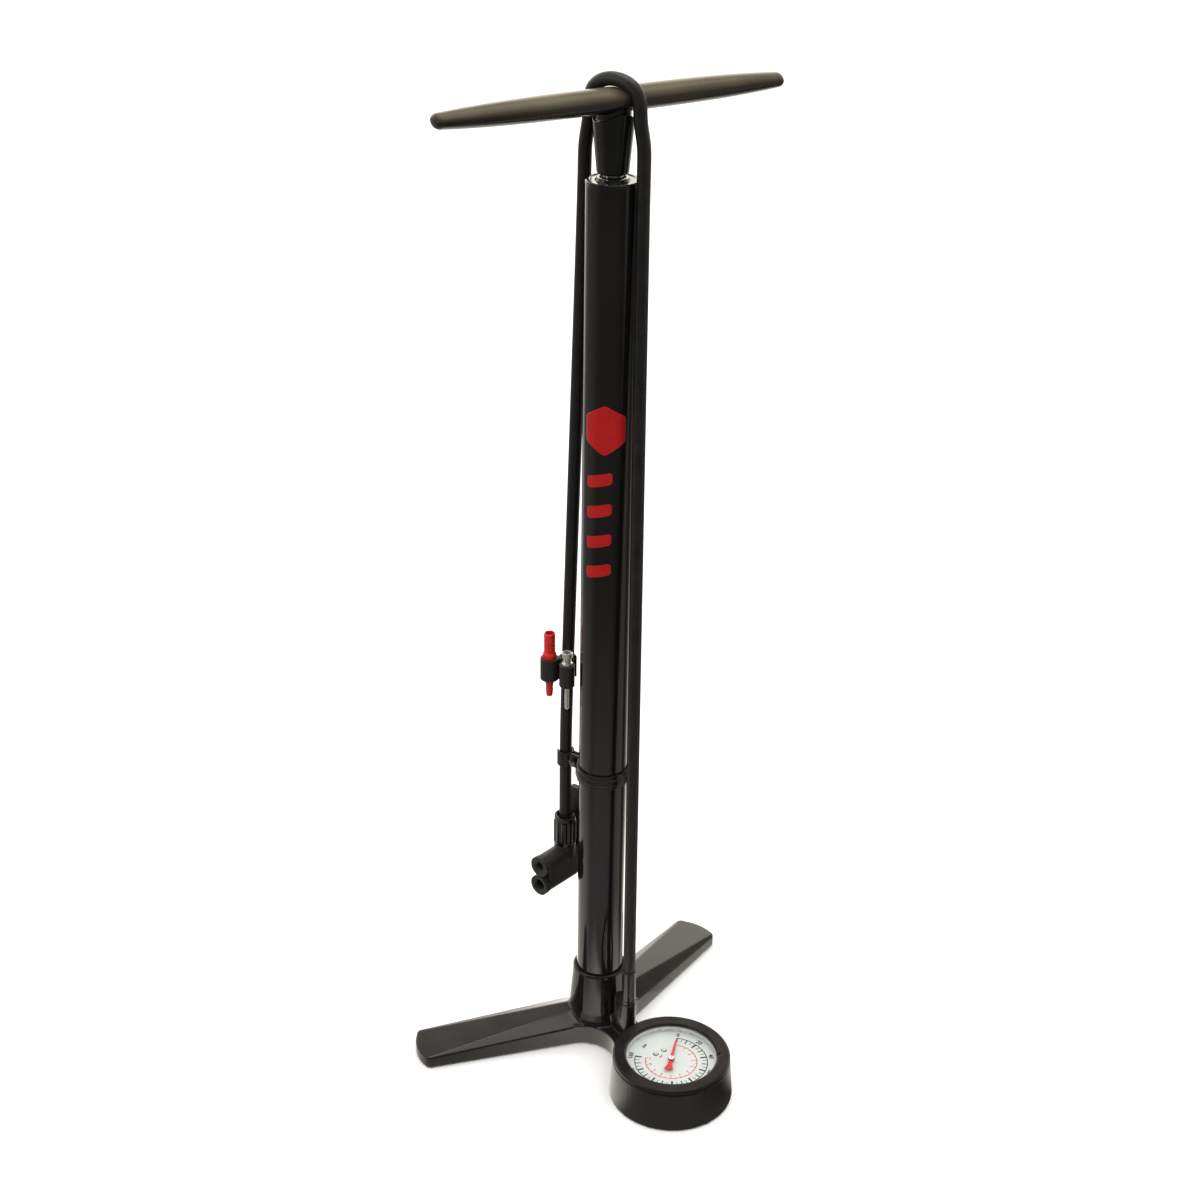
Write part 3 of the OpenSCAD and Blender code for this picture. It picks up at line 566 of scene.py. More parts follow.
MATERIALS = {
    "barrel": surface(
        "barrel_gloss_paint", color=(0.0075, 0.0070, 0.0070), rough=(0.10, 0.17), grain=700,
        grain_bump=0.05, coarse=18, variation=0.2, coat=0.35, coat_rough=0.06, scratches=0.05,
        bump_mm=0.02),
    "base": base_material(),
    "gloss": surface(
        "gloss_black_plastic", color=(0.006, 0.006, 0.006), rough=(0.10, 0.18), grain=900,
        grain_bump=0.04, coarse=60, variation=0.2, coat=0.3, wear=0.25,
        wear_color=(0.08, 0.08, 0.08, 1), bump_mm=0.02),
    "satin": surface(
        "satin_black_plastic", color=(0.0095, 0.0085, 0.0080), rough=(0.16, 0.26), grain=1800,
        grain_bump=0.10, coarse=70, variation=0.22, wear=0.2,
        wear_color=(0.07, 0.066, 0.062, 1), bump_mm=0.03),
    "black_steel": surface(
        "blackened_steel", color=(0.02, 0.02, 0.021), rough=(0.2, 0.32), grain=1600,
        grain_bump=0.12, coarse=120, wear=0.5, wear_color=(0.35, 0.34, 0.33, 1), metallic=0.6,
        bump_mm=0.03),
    "matte": surface(
        "matte_black_plastic", color=(0.016, 0.0155, 0.0145), rough=(0.46, 0.62), grain=2400,
        grain_bump=0.35, coarse=70, variation=0.22, wear=0.3, wear_color=(0.09, 0.085, 0.08, 1),
        dust=0.1),
    "bezel": surface(
        "bezel_satin_plastic", color=(0.0105, 0.0085, 0.0085), rough=(0.24, 0.34), grain=2600,
        grain_bump=0.18, coarse=55, variation=0.22, wear=0.15,
        wear_color=(0.07, 0.065, 0.062, 1), dust=0.03, bump_mm=0.04, spec=0.26),
    "handle": handle_material(),
    "hose": surface(
        "hose_rubber", color=(0.0125, 0.0105, 0.0098), rough=(0.34, 0.46), grain=1800,
        grain_bump=0.16, coarse=90, variation=0.22, scratches=0.05, stretch=(1, 1, 0.25)),
    "rubber": surface(
        "soft_rubber", color=(0.012, 0.012, 0.012), rough=(0.6, 0.78), grain=2200,
        grain_bump=0.3, coarse=80),
    "red": surface(
        "red_plastic", color=(0.62, 0.012, 0.010), rough=(0.26, 0.36), grain=1500,
        grain_bump=0.1, coarse=120, variation=0.12, wear=0.2, wear_color=(0.8, 0.2, 0.15, 1)),
    "badge": surface(
        "red_print", color=(0.50, 0.010, 0.010), rough=(0.22, 0.32), grain=1800,
        grain_bump=0.08, coarse=90, variation=0.08),
    "steel": surface(
        "ground_steel", color=(0.5, 0.5, 0.51), rough=(0.22, 0.34), grain=900, grain_bump=0.1,
        coarse=120, metallic=1.0, variation=0.1, stretch=(1, 1, 12), scratches=0.06),
    "chrome": surface(
        "polished_chrome", color=(0.72, 0.71, 0.69), rough=(0.06, 0.14), grain=1500,
        grain_bump=0.03, coarse=200, metallic=1.0, variation=0.06),
    "needle": surface(
        "brushed_chrome", color=(0.80, 0.79, 0.76), rough=(0.22, 0.36), grain=1500,
        grain_bump=0.05, coarse=200, metallic=0.85, variation=0.06),
    "brass": surface(
        "turned_brass", color=(0.62, 0.42, 0.16), rough=(0.2, 0.34), grain=1300,
        grain_bump=0.1, coarse=150, metallic=1.0, variation=0.12),
    "alu": surface(
        "satin_aluminium", color=(0.62, 0.62, 0.61), rough=(0.22, 0.34), grain=1800,
        grain_bump=0.12, coarse=100, metallic=1.0, variation=0.06, stretch=(1, 1, 6)),
    "nylon": surface(
        "nylon", color=(0.7, 0.69, 0.64), rough=(0.4, 0.5), grain=1500, grain_bump=0.12,
        coarse=100, variation=0.05),
    "dial": surface(
        "dial_card", color=(0.60, 0.61, 0.60), rough=(0.42, 0.55), grain=2500, grain_bump=0.06,
        coarse=90, variation=0.02),
    "ink_black": surface(
        "dial_black_ink", color=(0.02, 0.02, 0.022), rough=(0.4, 0.5), grain=2500,
        grain_bump=0.05, coarse=200, variation=0.1),
    "ink_red": surface(
        "dial_red_ink", color=(0.62, 0.05, 0.05), rough=(0.4, 0.5), grain=2500,
        grain_bump=0.05, coarse=200, variation=0.08),
    # pale silver: on the chrome dial ring a painted reflection standing in for its bright shine; on
    # the dial screws their own satin colour
    "trim": surface(
        "silver_paint_and_painted_reflection", color=(0.60, 0.60, 0.58), rough=(0.24, 0.34), grain=2500,
        grain_bump=0.06, coarse=120, variation=0.05, metallic=0.15, spec=0.7),
    "pointer": surface(
        "pointer_red", color=(0.60, 0.03, 0.035), rough=(0.3, 0.4), grain=1800,
        grain_bump=0.06, coarse=150, variation=0.08),
    "lens": lens_material(),
    "cap": cap_material(),
}


# ------------------------------------------------------------------ camera

# the camera's axes and place in the frame, metres
CAMERA_RIGHT = (0.81526567, -0.57892208, 0.01382441)
CAMERA_UP = (0.25445528, 0.37957645, 0.88947975)
CAMERA_FORWARD = (0.52018689, 0.72164461, -0.45676543)
CAMERA_PLACE = (-0.73516, -1.01308 + BARREL_FRAME_Y, 1.01390)


def build_camera():
    data = bpy.data.cameras.new("camera")
    data.sensor_width = 36
    data.lens = 60.655
    data.clip_start, data.clip_end = 0.05, 60
    camera = link("camera", data)
    matrix = Matrix.Identity(4)
    for i in range(3):
        matrix[i][0], matrix[i][1], matrix[i][2] = CAMERA_RIGHT[i], CAMERA_UP[i], -CAMERA_FORWARD[i]
        matrix[i][3] = CAMERA_PLACE[i]
    camera.matrix_world = matrix
    scene.camera = camera
    camera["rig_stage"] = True


# ------------------------------------------------------------------ world, floor and lights

def heading(tree, direction):
    """Horizontal angle from the direction towards the camera, whichever way the camera looks:
    0 straight towards it, +-1 straight away from it, positive on the picture's right."""
    view = add_node(tree, "ShaderNodeVectorTransform", {0: (0, 0, 1)},
                    vector_type="VECTOR", convert_from="CAMERA", convert_to="WORLD").outputs[0]
    forward = vector_math(tree, "NORMALIZE", flatten(tree, view))
    right = vector_math(tree, "CROSS_PRODUCT", forward, (0, 0, 1))
    level = vector_math(tree, "NORMALIZE", flatten(tree, direction))
    along = Shade(tree, vector_math(tree, "DOT_PRODUCT", level, forward, output="Value"))
    across = Shade(tree, vector_math(tree, "DOT_PRODUCT", level, right, output="Value"))
    return add_math(tree, "ARCTAN2", across, along * -1.0) * (1 / math.pi)


def tint(tree, value, shares=(1.0, 0.95, 0.86)):
    """A colour from a brightness; warm unless told otherwise."""
    inputs = {i: value * share for i, share in enumerate(shares)}
    return add_node(tree, "ShaderNodeCombineXYZ", inputs).outputs[0]


def background(tree, color):
    return add_node(tree, "ShaderNodeBackground", {0: color}).outputs[0]


def build_world():
    """White to the camera; shiny surfaces see a dark camera side and a bright far side."""
    world = bpy.data.worlds.new("studio")
    scene.world = world
    tree, output = empty_tree(world, "ShaderNodeOutputWorld")
    direction = add_node(tree, "ShaderNodeTexCoord").outputs["Generated"]
    angle = heading(tree, direction)
    height = Shade(tree, height_of(tree, vector_math(tree, "NORMALIZE", direction)))

    # where each patch of brightness lies, by heading or height
    far = angle.size().ramp(0.45, 0.85)
    low = height.fade(0.28, 0.68)
    left = angle.ramp(-0.22, -0.42)
    right_band = angle.bump(0.42, 0.16)
    top = height.ramp(0.75, 0.98)
    # how bright each patch is
    far_low, far_all, left_glow, right_glow, top_glow, ambient = 2.3, 0.22, 0.28, 0.40, 0.30, 0.06
    seen_glossy = (far * (low * far_low + far_all) + left * left_glow + right_band * right_glow
                   + top * top_glow + ambient)
    glossy = background(tree, tint(tree, seen_glossy))
    # matte surfaces are lit more from above
    seen_matte = height.ramp(-0.05, 0.95, low=0.55, high=1.75)
    plain = background(tree, tint(tree, seen_matte, shares=(1, 0.985, 0.96)))
    white = background(tree, (1, 1, 1, 1))
    ray = add_node(tree, "ShaderNodeLightPath").outputs
    lit = mix_shader(tree, ray["Is Glossy Ray"], plain, glossy)
    feed(tree, output, mix_shader(tree, ray["Is Camera Ray"], lit, white))


def floor_glow(tree, position):
    """Brightness of the floor as shiny surfaces see it."""
    angle = heading(tree, offset_from(tree, position, BARREL_FRAME_Y))
    away = Shade(tree, length(tree, offset_from(tree, position, BARREL_FRAME_Y)))
    near = away.fade(0.25, 0.85)       # metres from the barrel's foot
    close = away.fade(0.12, 0.40)
    # where each patch lies by heading, and how it grows towards the barrel
    far = angle.size().ramp(0.66, 0.92) * (close * 0.5 + 1.0)
    left = angle.ramp(-0.20, -0.46) * (near * 0.6 + 0.4 + close * 0.9)
    right_band = angle.bump(0.44, 0.15) * (near * 0.4 + 0.6)
    right_far = angle.ramp(0.62, 0.75) * (close * 1.4 + 1.0)
    front = angle.bump(-0.02, 0.34) * (near * 0.30 + 0.05)
    # how bright each patch is
    far_glow, left_glow, band_glow, right_far_glow, ambient = 1.1, 0.50, 0.42, 0.28, 0.06
    glow = (far * far_glow + left * left_glow + right_band * band_glow
            + right_far * right_far_glow + front + ambient)
    # brighter patches of floor on both sides of the gauge cup
    from_gauge = offset_from(tree, position, GAUGE_FRAME_Y)
    gauge_angle = heading(tree, from_gauge)
    beside = Shade(tree, length(tree, from_gauge)).fade(0.05, 0.17)
    left_patch, right_patch = 1.6, 0.8
    return glow + beside * (gauge_angle.ramp(-0.28, -0.42) * left_patch
                            + gauge_angle.ramp(0.46, 0.64) * right_patch)


def build_floor():
    half, z = 14, -0.0003              # metres
    mesh = bpy.data.meshes.new("floor")
    corners = [(-half, -half, z), (half, -half, z), (half, half, z), (-half, half, z)]
    mesh.from_pydata(corners, [], [(0, 1, 2, 3)])
    floor = link("floor", mesh)
    material = bpy.data.materials.new("floor_pale")
    tree, output = empty_tree(material)
    position = add_node(tree, "ShaderNodeNewGeometry").outputs["Position"]
    glow = add_node(tree, "ShaderNodeEmission", {0: tint(tree, floor_glow(tree, position))})
    patches = contrast(tree, noise(tree, position, scale=3, detail=2), 0.3, 0.7)
    pale = mix_color(tree, patches, (0.90, 0.90, 0.90, 1), (0.92, 0.92, 0.92, 1))
    matte = add_node(tree, "ShaderNodeBsdfDiffuse", {0: pale})
    # little light comes up from the floor, so undersides stay dark
    dim = add_node(tree, "ShaderNodeEmission", {0: (0.26, 0.245, 0.22, 1)})
    ray = add_node(tree, "ShaderNodeLightPath").outputs
    seen = mix_shader(tree, ray["Is Glossy Ray"], matte.outputs[0], glow.outputs[0])
    feed(tree, output, mix_shader(tree, ray["Is Diffuse Ray"], seen, dim.outputs[0]))
    floor.data.materials.append(material)
    floor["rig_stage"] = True


def softbox(name, place, target, size, power):
    """A rectangular lamp; place, target and size in metres, power in watts."""
    data = bpy.data.lights.new(name, "AREA")
    data.shape = "RECTANGLE"
    data.size, data.size_y = size
    data.energy = power
    lamp = link(name, data)
    lamp.location = place
    aim = Vector(target) - Vector(place)
    lamp.rotation_euler = aim.to_track_quat("-Z", "Y").to_euler()
    lamp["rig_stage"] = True


scene.view_settings.view_transform = "Standard"
scene.view_settings.look = "None"
scene.view_settings.exposure = 0
scene.view_settings.gamma = 1
scene.render.film_transparent = False
build_camera()
build_world()
build_floor()
softbox("top_box", place=(0.25, 0.35, 2.3), target=(0, 0, 0.2), size=(1.6, 1.6), power=14)
softbox("left_box", place=(-1.9, 0.5, 1.5), target=(0, 0, 0.35), size=(0.8, 1.6), power=5)


# ------------------------------------------------------------------ placing pieces

def finish(ob, material, slot):
    ob.data.materials.clear()
    ob.data.materials.append(MATERIALS[material])
    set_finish(ob, slot)


def put(ob, material, slot, body="root", replaces=None):
    """Finishes a new piece, ties it to a moving body and lets it stand in for a CAD node."""
    finish(ob, material, slot)
    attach(ob, body)
    if replaces:
        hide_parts(replaces)


def moulded(name, node, voxel, passes, material, slot, body="root", mask=None):
    """Stands in for a CAD node with a copy of it, remeshed finely (voxel in mm) and smoothed,
    so that its edges are softly rounded as on a moulding."""
    mesh = CAD[node].data.copy()
    mesh.name = name
    ob = link(name, mesh)
    ob.data.materials.clear()
    weld = ob.modifiers.new("weld", "WELD")
    weld.merge_threshold = 1e-6
    remesh = ob.modifiers.new("remesh", "REMESH")
    remesh.mode = "VOXEL"
    remesh.voxel_size = voxel * MM
    remesh.adaptivity = 0
    depsgraph = bpy.context.evaluated_depsgraph_get()
    fine = bpy.data.meshes.new_from_object(ob.evaluated_get(depsgraph))
    ob.modifiers.clear()
    ob.data = fine
    fine.name = name
    relax(fine, passes, mask)
    fine.polygons.foreach_set("use_smooth", [True] * len(fine.polygons))
    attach(ob, body)
    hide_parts(node)
    finish(ob, material, slot)


# ------------------------------------------------------------------ barrel, cap and piston rod
# Lathe outlines are (r, z) or (r, z, corner radius).

BARREL_OUTLINE = [(BARREL_BORE, 24), (BARREL_R, 24),
                  (BARREL_R, BARREL_TOP), (BARREL_BORE, BARREL_TOP)]
put(lathe("barrel_tube", fillet(BARREL_OUTLINE, 0.3), segments=256, step=12),
    "barrel", "barrel_paint", replaces="barrel")

CAP_OUTLINE = [
    (8.62, 632, .2), (16.07, 632, .2), (16.07, 665.9, 0), (17.6, 665.95, .15),
    (17.6, 667.1, .12), (17.42, 667.3, .08), (17.6, 667.5, .12),      # a fine groove
    (17.6, 668.4, .5), (16.9, 669.2, .45), (15.1, 669.2, .4), (14.5, 668.6, .5),
    (11.2, 668.6, .8), (10.4, 670.4, .4), (8.62, 670.4, .25)]
put(lathe("cap_glossy", fillet(CAP_OUTLINE, 0.3, 6), segments=256, step=1.5),
    "gloss", "gloss_black_plastic", replaces="top_cap")

ROD_OUTLINE = [(5.5, 60), (7, 60), (7, 700), (5.5, 700)]
put(lathe("rod_chromed", fillet(ROD_OUTLINE, 0.25), segments=128, step=20),
    "chrome", "chrome", "piston_unit", "piston_rod")


# ------------------------------------------------------------------ handle

GRIP_HALF_LENGTH = 124.5
GRIP_END = 5                           # length over which each end rounds off
GRIP_STATIONS_TO = 119                 # even stations reach this far, closer ones follow
GRIP_POINTS = 144                      # round a section
SIDE_EDGE = 1.10                       # above 1 the section comes to a soft edge at the sides
CREASE_CROWDING = 0.35                 # gathers section points near that edge


def grip_scale(x):
    """Size of the grip's section at x, as a share of its middle."""
    taper = abs(x) / (GRIP_HALF_LENGTH - GRIP_END)
    rounding = max(0.0, (abs(x) - GRIP_HALF_LENGTH + GRIP_END) / 5.001)
    scale = max(0.02, 1 - rounding ** 2.4) ** 0.45 if rounding > 0 else 1.0
    return scale * (1 - 0.36 * min(taper, 1) ** 3.3)


def handle_grip():
    stations = list(np.linspace(-GRIP_STATIONS_TO, GRIP_STATIONS_TO, 160))
    stations += [sign * (GRIP_STATIONS_TO + GRIP_END * math.sin(t))
                 for sign in (-1, 1) for t in np.linspace(0, math.pi / 2, 16)]
    stations = sorted(set(stations))
    verts = []
    for x in stations:
        scale = grip_scale(x)
        for k in range(GRIP_POINTS):
            q = 2 * math.pi * k / GRIP_POINTS
            q = q - CREASE_CROWDING * math.sin(2 * q) / 2
            rise = math.copysign(abs(math.sin(q)) ** SIDE_EDGE, math.sin(q))
            verts.append((x, scale * GRIP_HALF_WIDTH * math.cos(q),
                          scale * GRIP_HALF_HEIGHT * rise))
    rings = [list(range(i * GRIP_POINTS, (i + 1) * GRIP_POINTS)) for i in range(len(stations))]
    faces = []
    for first, second in zip(rings, rings[1:]):
        faces += bridge(first, second)
    faces += bridge([len(verts)], rings[0])
    faces += bridge(rings[-1], [len(verts) + 1])
    verts += [(stations[0], 0, 0), (stations[-1], 0, 0)]
    x, y, z = np.array(verts).T
    c, s = math.cos(HANDLE_TURN), math.sin(HANDLE_TURN)
    verts = np.stack([x * c - y * s, x * s + y * c, z + HANDLE_Z], 1)
    return fix_normals(make("handle_grip", verts, faces))


put(handle_grip(), "handle", "handle_finish", "handle_unit", "handle")
moulded("stem_cone", "handle_stem", 0.25, 3, "gloss", "gloss_black_plastic", "handle_unit")


# ------------------------------------------------------------------ hose
# The hose lies in the upright plane at azimuth LOOP. Distances in that plane are measured from
# the barrel axis and are positive on the head's side.

ACROSS = math.sin(LOOP - HANDLE_TURN)  # the plane crosses the handle at this slant
CROSSING_HALF_WIDTH = GRIP_HALF_WIDTH / ACROSS
SIDE_GAP = 4.85 / ACROSS               # from the handle's surface to the middle of the hose
TOP_GAP = 5.05
STRAND = 22.7                          # the two strands' distance from the rod
LOOP_SHIFT = np.array([0.8, 0, 0])     # the loop hangs a little towards +x of the rod
HEAD_DISTANCE = 33.5


def cubic(a, b, c, d, t):
    return a * (1 - t) ** 3 + 3 * b * t * (1 - t) ** 2 + 3 * c * t * t * (1 - t) + d * t ** 3


def ease(t):
    return t * t * (3 - 2 * t)


def in_plane(distance, z):
    return np.array([distance * math.cos(LOOP), distance * math.sin(LOOP), z])


def in_loop(distance, z):
    return in_plane(distance, z) + LOOP_SHIFT


def over_handle(t):
    """The hose on top of the handle's section, at the section's angle t."""
    normal = np.array([GRIP_HALF_HEIGHT * math.cos(t), GRIP_HALF_WIDTH * math.sin(t)])
    normal /= np.linalg.norm(normal)
    return in_loop(CROSSING_HALF_WIDTH * math.cos(t) + SIDE_GAP * normal[0],
                   HANDLE_Z + GRIP_HALF_HEIGHT * math.sin(t) + TOP_GAP * normal[1])


def drop_to_head(t):
    place = in_plane(cubic(STRAND, 22.9, 32.6, HEAD_DISTANCE, t),
                     cubic(HANDLE_Z - 40, HANDLE_Z - 100, 330, 242, t))
    return place + (1 - t) ** 2 * LOOP_SHIFT


def hose_path():
    # how far the strands lean in where they meet the handle
    lean = STRAND - CROSSING_HALF_WIDTH - SIDE_GAP
    outlet_top = np.array([*HOSE_OUTLET, 80.0])
    strand_foot = in_loop(-STRAND, HANDLE_Z - 66)
    # up out of the base, then straight to the near strand
    path = [np.array([*HOSE_OUTLET, z]) for z in np.linspace(47.3, 80, 12)]
    path += [outlet_top + (strand_foot - outlet_top) * t for t in np.linspace(0, 1, 150)[1:]]
    # up the strand, in to the handle, over it and out again
    path += [in_loop(-STRAND, HANDLE_Z + z) for z in np.linspace(-63, -33, 11)]
    path += [in_loop(-STRAND + lean * ease(t), HANDLE_Z - 30 + 24 * t)
             for t in np.linspace(0, 1, 14)]
    path += [over_handle(math.radians(t)) for t in np.linspace(180, 0, 60)]
    path += [in_loop(STRAND - lean * ease(t), HANDLE_Z - 36 + 30 * t)
             for t in np.linspace(1, 0, 14)]
    # down to the head
    path += [drop_to_head(t) for t in np.linspace(0, 1, 160)[1:]]
    path += [in_plane(HEAD_DISTANCE, z) for z in np.linspace(240, 157, 30)]
    path = np.array(path)
    # even spacing, then a light smoothing that leaves both ends alone
    steps = np.linalg.norm(np.diff(path, axis=0), axis=1)
    travelled = np.concatenate([[0], np.cumsum(steps)])
    keep = np.concatenate([[True], np.diff(travelled) > 1e-6])
    path, travelled = path[keep], travelled[keep]
    even = np.linspace(0, travelled[-1], 900)
    path = np.stack([np.interp(even, travelled, path[:, c]) for c in range(3)], 1)
    for _ in range(14):
        path[1:-1] += 0.5 * ((path[:-2] + path[2:]) / 2 - path[1:-1])
    return path


hose_side = (math.cos(LOOP - math.pi / 2), math.sin(LOOP - math.pi / 2), 0)
hose = sweep("hose_tube", hose_path(), HOSE_R, 56, hose_side)
finish(hose, "hose", "hose_rubber")
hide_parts("hose")
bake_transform(hose)

FERRULE_OUTLINE = [
    (4.58, 47.1, 0), (5.6, 47.1, .2), (5.6, 49, .3), (5.3, 49.6, .2), (5.1, 75, .2),
    (4.95, 76, .15), (4.58, 76, .05)]
put(lathe("ferrule_moulded", fillet(FERRULE_OUTLINE, 0.3), 128, 1.5, HOSE_OUTLET),
    "gloss", "gloss_black_plastic", replaces="hose_ferrule")


# ------------------------------------------------------------------ base

CRISP_ABOVE = 0.0565                   # metres; the base is smoothed less above this height


def base_mask(points):
    return np.where(points[:, 2] > CRISP_ABOVE, 0.25, 1.0)


moulded("base_moulding", "base", 0.6, 5, "base", "base_plastic", mask=base_mask)


# ------------------------------------------------------------------ gauge

BEZEL_OUTLINE = [
    (33.3, 32.8, .1), (37.9, 32.8, .1), (38, 27.2, .2), (39.3, 27.2, .2), (39.3, 31.3, 0),
    (43.45, 31.3, .35), (43.45, 33.2, 0), (42.3, 34.4, 1.3), (34.3, 34.4, 1.2), (33.3, 33.2, .5)]
LENS_OUTLINE = [(0, 31.25), (36.8, 31.25, .2), (36.8, 32.65, .2), (0, 32.65)]
TRIM_OUTLINE = [(34.6, 26.55, .05), (DIAL_R, 26.55, .1), (DIAL_R, 31.1, .1), (33.5, 31.1, .25),
                (33.5, 30.3, .3)]
DIAL_OUTLINE = [(1.4, 25.9, .05), (DIAL_R, 25.9, .1), (DIAL_R, DIAL_TOP, .12),
                (1.4, DIAL_TOP, .1)]

NOTCH_AZIMUTH = math.radians(-36)
NOTCH_REACH = 36.9                     # radius where the notch ends
NOTCH_FLOOR = 32.9                     # only points above this height sink


def notch(points):
    """Sinks a radial notch into the inner part of the bezel's top. Points are from its axis."""
    angle = np.arctan2(points[:, 1], points[:, 0]) - NOTCH_AZIMUTH
    r = np.hypot(points[:, 0], points[:, 1])
    across = np.abs(r * np.sin(angle))
    inside = (points[:, 2] > NOTCH_FLOOR) & (np.cos(angle) > 0) & (r < NOTCH_REACH)
    depth = np.clip(1.7 - across, 0, 1.3) * np.clip((NOTCH_REACH - r) / 0.6, 0, 1)
    points[inside, 2] -= depth[inside] * np.clip((points[inside, 2] - NOTCH_FLOOR) / 0.4, 0, 1)
    return points


put(lathe("bezel_ring", fillet(BEZEL_OUTLINE, 0.3, 8), 720, 0.5, GAUGE, warp=notch),
    "bezel", "matte_black_plastic", replaces="gauge_bezel")
put(lathe("lens_clear", fillet(LENS_OUTLINE, 0.2, 4, closed=False), 192, 6, GAUGE),
    "lens", "lens_glass", replaces="gauge_lens")
# the chrome ring is shown in pale silver, a painted reflection of its bright shine
put(lathe("dial_trim", fillet(TRIM_OUTLINE, 0.2), 256, 0.8, GAUGE),
    "trim", "chrome", replaces="dial_ring")
put(lathe("dial_plate", fillet(DIAL_OUTLINE, 0.1, 4), 192, 6, GAUGE),
    "dial", "dial_white", replaces="gauge_dial")


# The print on the dial is made of thin raised shapes, each a (verts, faces) pair. Radii are
# from the gauge axis and angles are azimuths in degrees.

def arc_strip(r0, r1, start, end, count, centre=(0, 0)):
    """Part of a ring; `centre` is measured from the gauge axis."""
    verts, faces = [], []
    for i in range(count + 1):
        q = math.radians(start + (end - start) * i / count)
        for r in (r0, r1):
            for z in (DIAL_TOP, INK_TOP):
                verts.append((r * math.cos(q) + centre[0],
                              r * math.sin(q) + GAUGE[1] + centre[1], z))
    for i in range(count):
        a, b = 4 * i, 4 * i + 4
        faces += [(a + 1, a + 3, b + 3, b + 1), (a, b, b + 2, a + 2),
                  (a, a + 1, b + 1, b), (a + 2, b + 2, b + 3, a + 3)]
    last = 4 * count
    faces += [(0, 2, 3, 1), (last, last + 1, last + 3, last + 2)]
    return verts, faces


def tick(r0, r1, width, azimuth):
    q = math.radians(azimuth)
    c, s = math.cos(q), math.sin(q)
    corners = ((r0, -width / 2), (r1, -width / 2), (r1, width / 2), (r0, width / 2))
    verts = [(r * c - t * s, r * s + t * c + GAUGE[1], z)
             for z in (DIAL_TOP, INK_TOP) for r, t in corners]
    return verts, [(0, 3, 2, 1), (4, 5, 6, 7), (0, 1, 5, 4), (1, 2, 6, 5), (2, 3, 7, 6),
                   (3, 0, 4, 7)]


def word(text, size, r, azimuth):
    """A number or a unit, centred on radius r, with its top outward."""
    curve = bpy.data.curves.new("text", "FONT")
    curve.body = text
    curve.size = size
    curve.align_x = "CENTER"
    curve.align_y = "CENTER"
    curve.extrude = (INK_TOP - DIAL_TOP) / 2
    curve.offset = size * 0.024        # a little bolder than the font
    curve.resolution_u = 3
    ob = link("text", curve)
    depsgraph = bpy.context.evaluated_depsgraph_get()
    mesh = bpy.data.meshes.new_from_object(ob.evaluated_get(depsgraph))
    bpy.data.objects.remove(ob)
    q = math.radians(azimuth)
    up = np.array([math.cos(q), math.sin(q)])
    right = np.array([up[1], -up[0]])
    flat = np.array([v.co for v in mesh.vertices])
    centre = np.array([r * math.cos(q), r * math.sin(q) + GAUGE[1]])
    xy = flat[:, :1] * right + flat[:, 1:2] * up + centre
    verts = np.column_stack([xy, flat[:, 2] + (DIAL_TOP + INK_TOP) / 2])
    faces = [tuple(p.vertices) for p in mesh.polygons]
    bpy.data.meshes.remove(mesh)
    return verts.tolist(), faces


def join(name, parts):
    verts, faces = [], []
    for part_verts, part_faces in parts:
        start = len(verts)
        verts += part_verts
        faces += [tuple(i + start for i in face) for face in part_faces]
    return fix_normals(make(name, verts, faces, smooth=False), merge=True)


def psi_azimuth(pressure):
    return SCALE_START - SCALE_SWEEP * pressure / SCALE_FULL


def bar_azimuth(pressure):
    return psi_azimuth(pressure * PSI_PER_BAR)


ARC_TRIM = 0.6                         # degrees the arcs stop short of the end ticks
SCREW_RING_X = (-4.4, 3.2)
SCREW_RING_Y = 13.1


def psi_scale():
    parts = [arc_strip(26.65, 27.3, psi_azimuth(0) + ARC_TRIM,
                       psi_azimuth(SCALE_FULL) - ARC_TRIM, 160)]
    for pressure in range(0, SCALE_FULL + 1, 5):
        if pressure % 20 == 0:
            inner, width = 22.2, 1.35
        elif pressure % 10 == 0:
            inner, width = 22.6, 0.85
        else:
            inner, width = 23.4, 0.48
        parts.append(tick(inner, 26.8, width, psi_azimuth(pressure)))
    for pressure in range(0, SCALE_FULL + 1, 20):
        parts.append(word(str(pressure), size=4.7, r=30.3, azimuth=psi_azimuth(pressure)))
    parts.append(word("psi", size=4.0, r=26.2, azimuth=103))
    # a dark ring round each dial screw
    for x in SCREW_RING_X:
        parts.append(arc_strip(1.8, 2.2, 0, 359.5, 60, centre=(x, SCREW_RING_Y)))
    return join("dial_print_black", parts)


def bar_scale():
    parts = [arc_strip(18.8, 19.4, psi_azimuth(0) + ARC_TRIM, bar_azimuth(11) - ARC_TRIM, 160)]
    for k in range(23):                # every half bar, longer at whole ones
        inner, width = (17.4, 0.6) if k % 2 == 0 else (18.0, 0.35)
        parts.append(tick(inner, 18.9, width, bar_azimuth(k * 0.5)))
    for k in range(12):
        parts.append(word(str(k), size=2.5, r=15.7, azimuth=bar_azimuth(k)))
    parts.append(word("bar", size=2.8, r=9.3, azimuth=108))
    return join("dial_print_red", parts)


put(psi_scale(), "ink_black", "dial_white")
put(bar_scale(), "ink_red", "dial_white")


# ------------------------------------------------------------------ pointer

POINTER_BOTTOM = 28.5
POINTER_TOP = 29.1
# one side of the pointer: (along it from the gauge axis, half width)
POINTER_TIP = [(23.6, 0.28), (16, 0.85), (2.3, 1.21)]
POINTER_TAIL = [(-6, 1.6), (-7.5, 2.2), (-12, 3.4)]
POINTER_HUB_R = 2.6


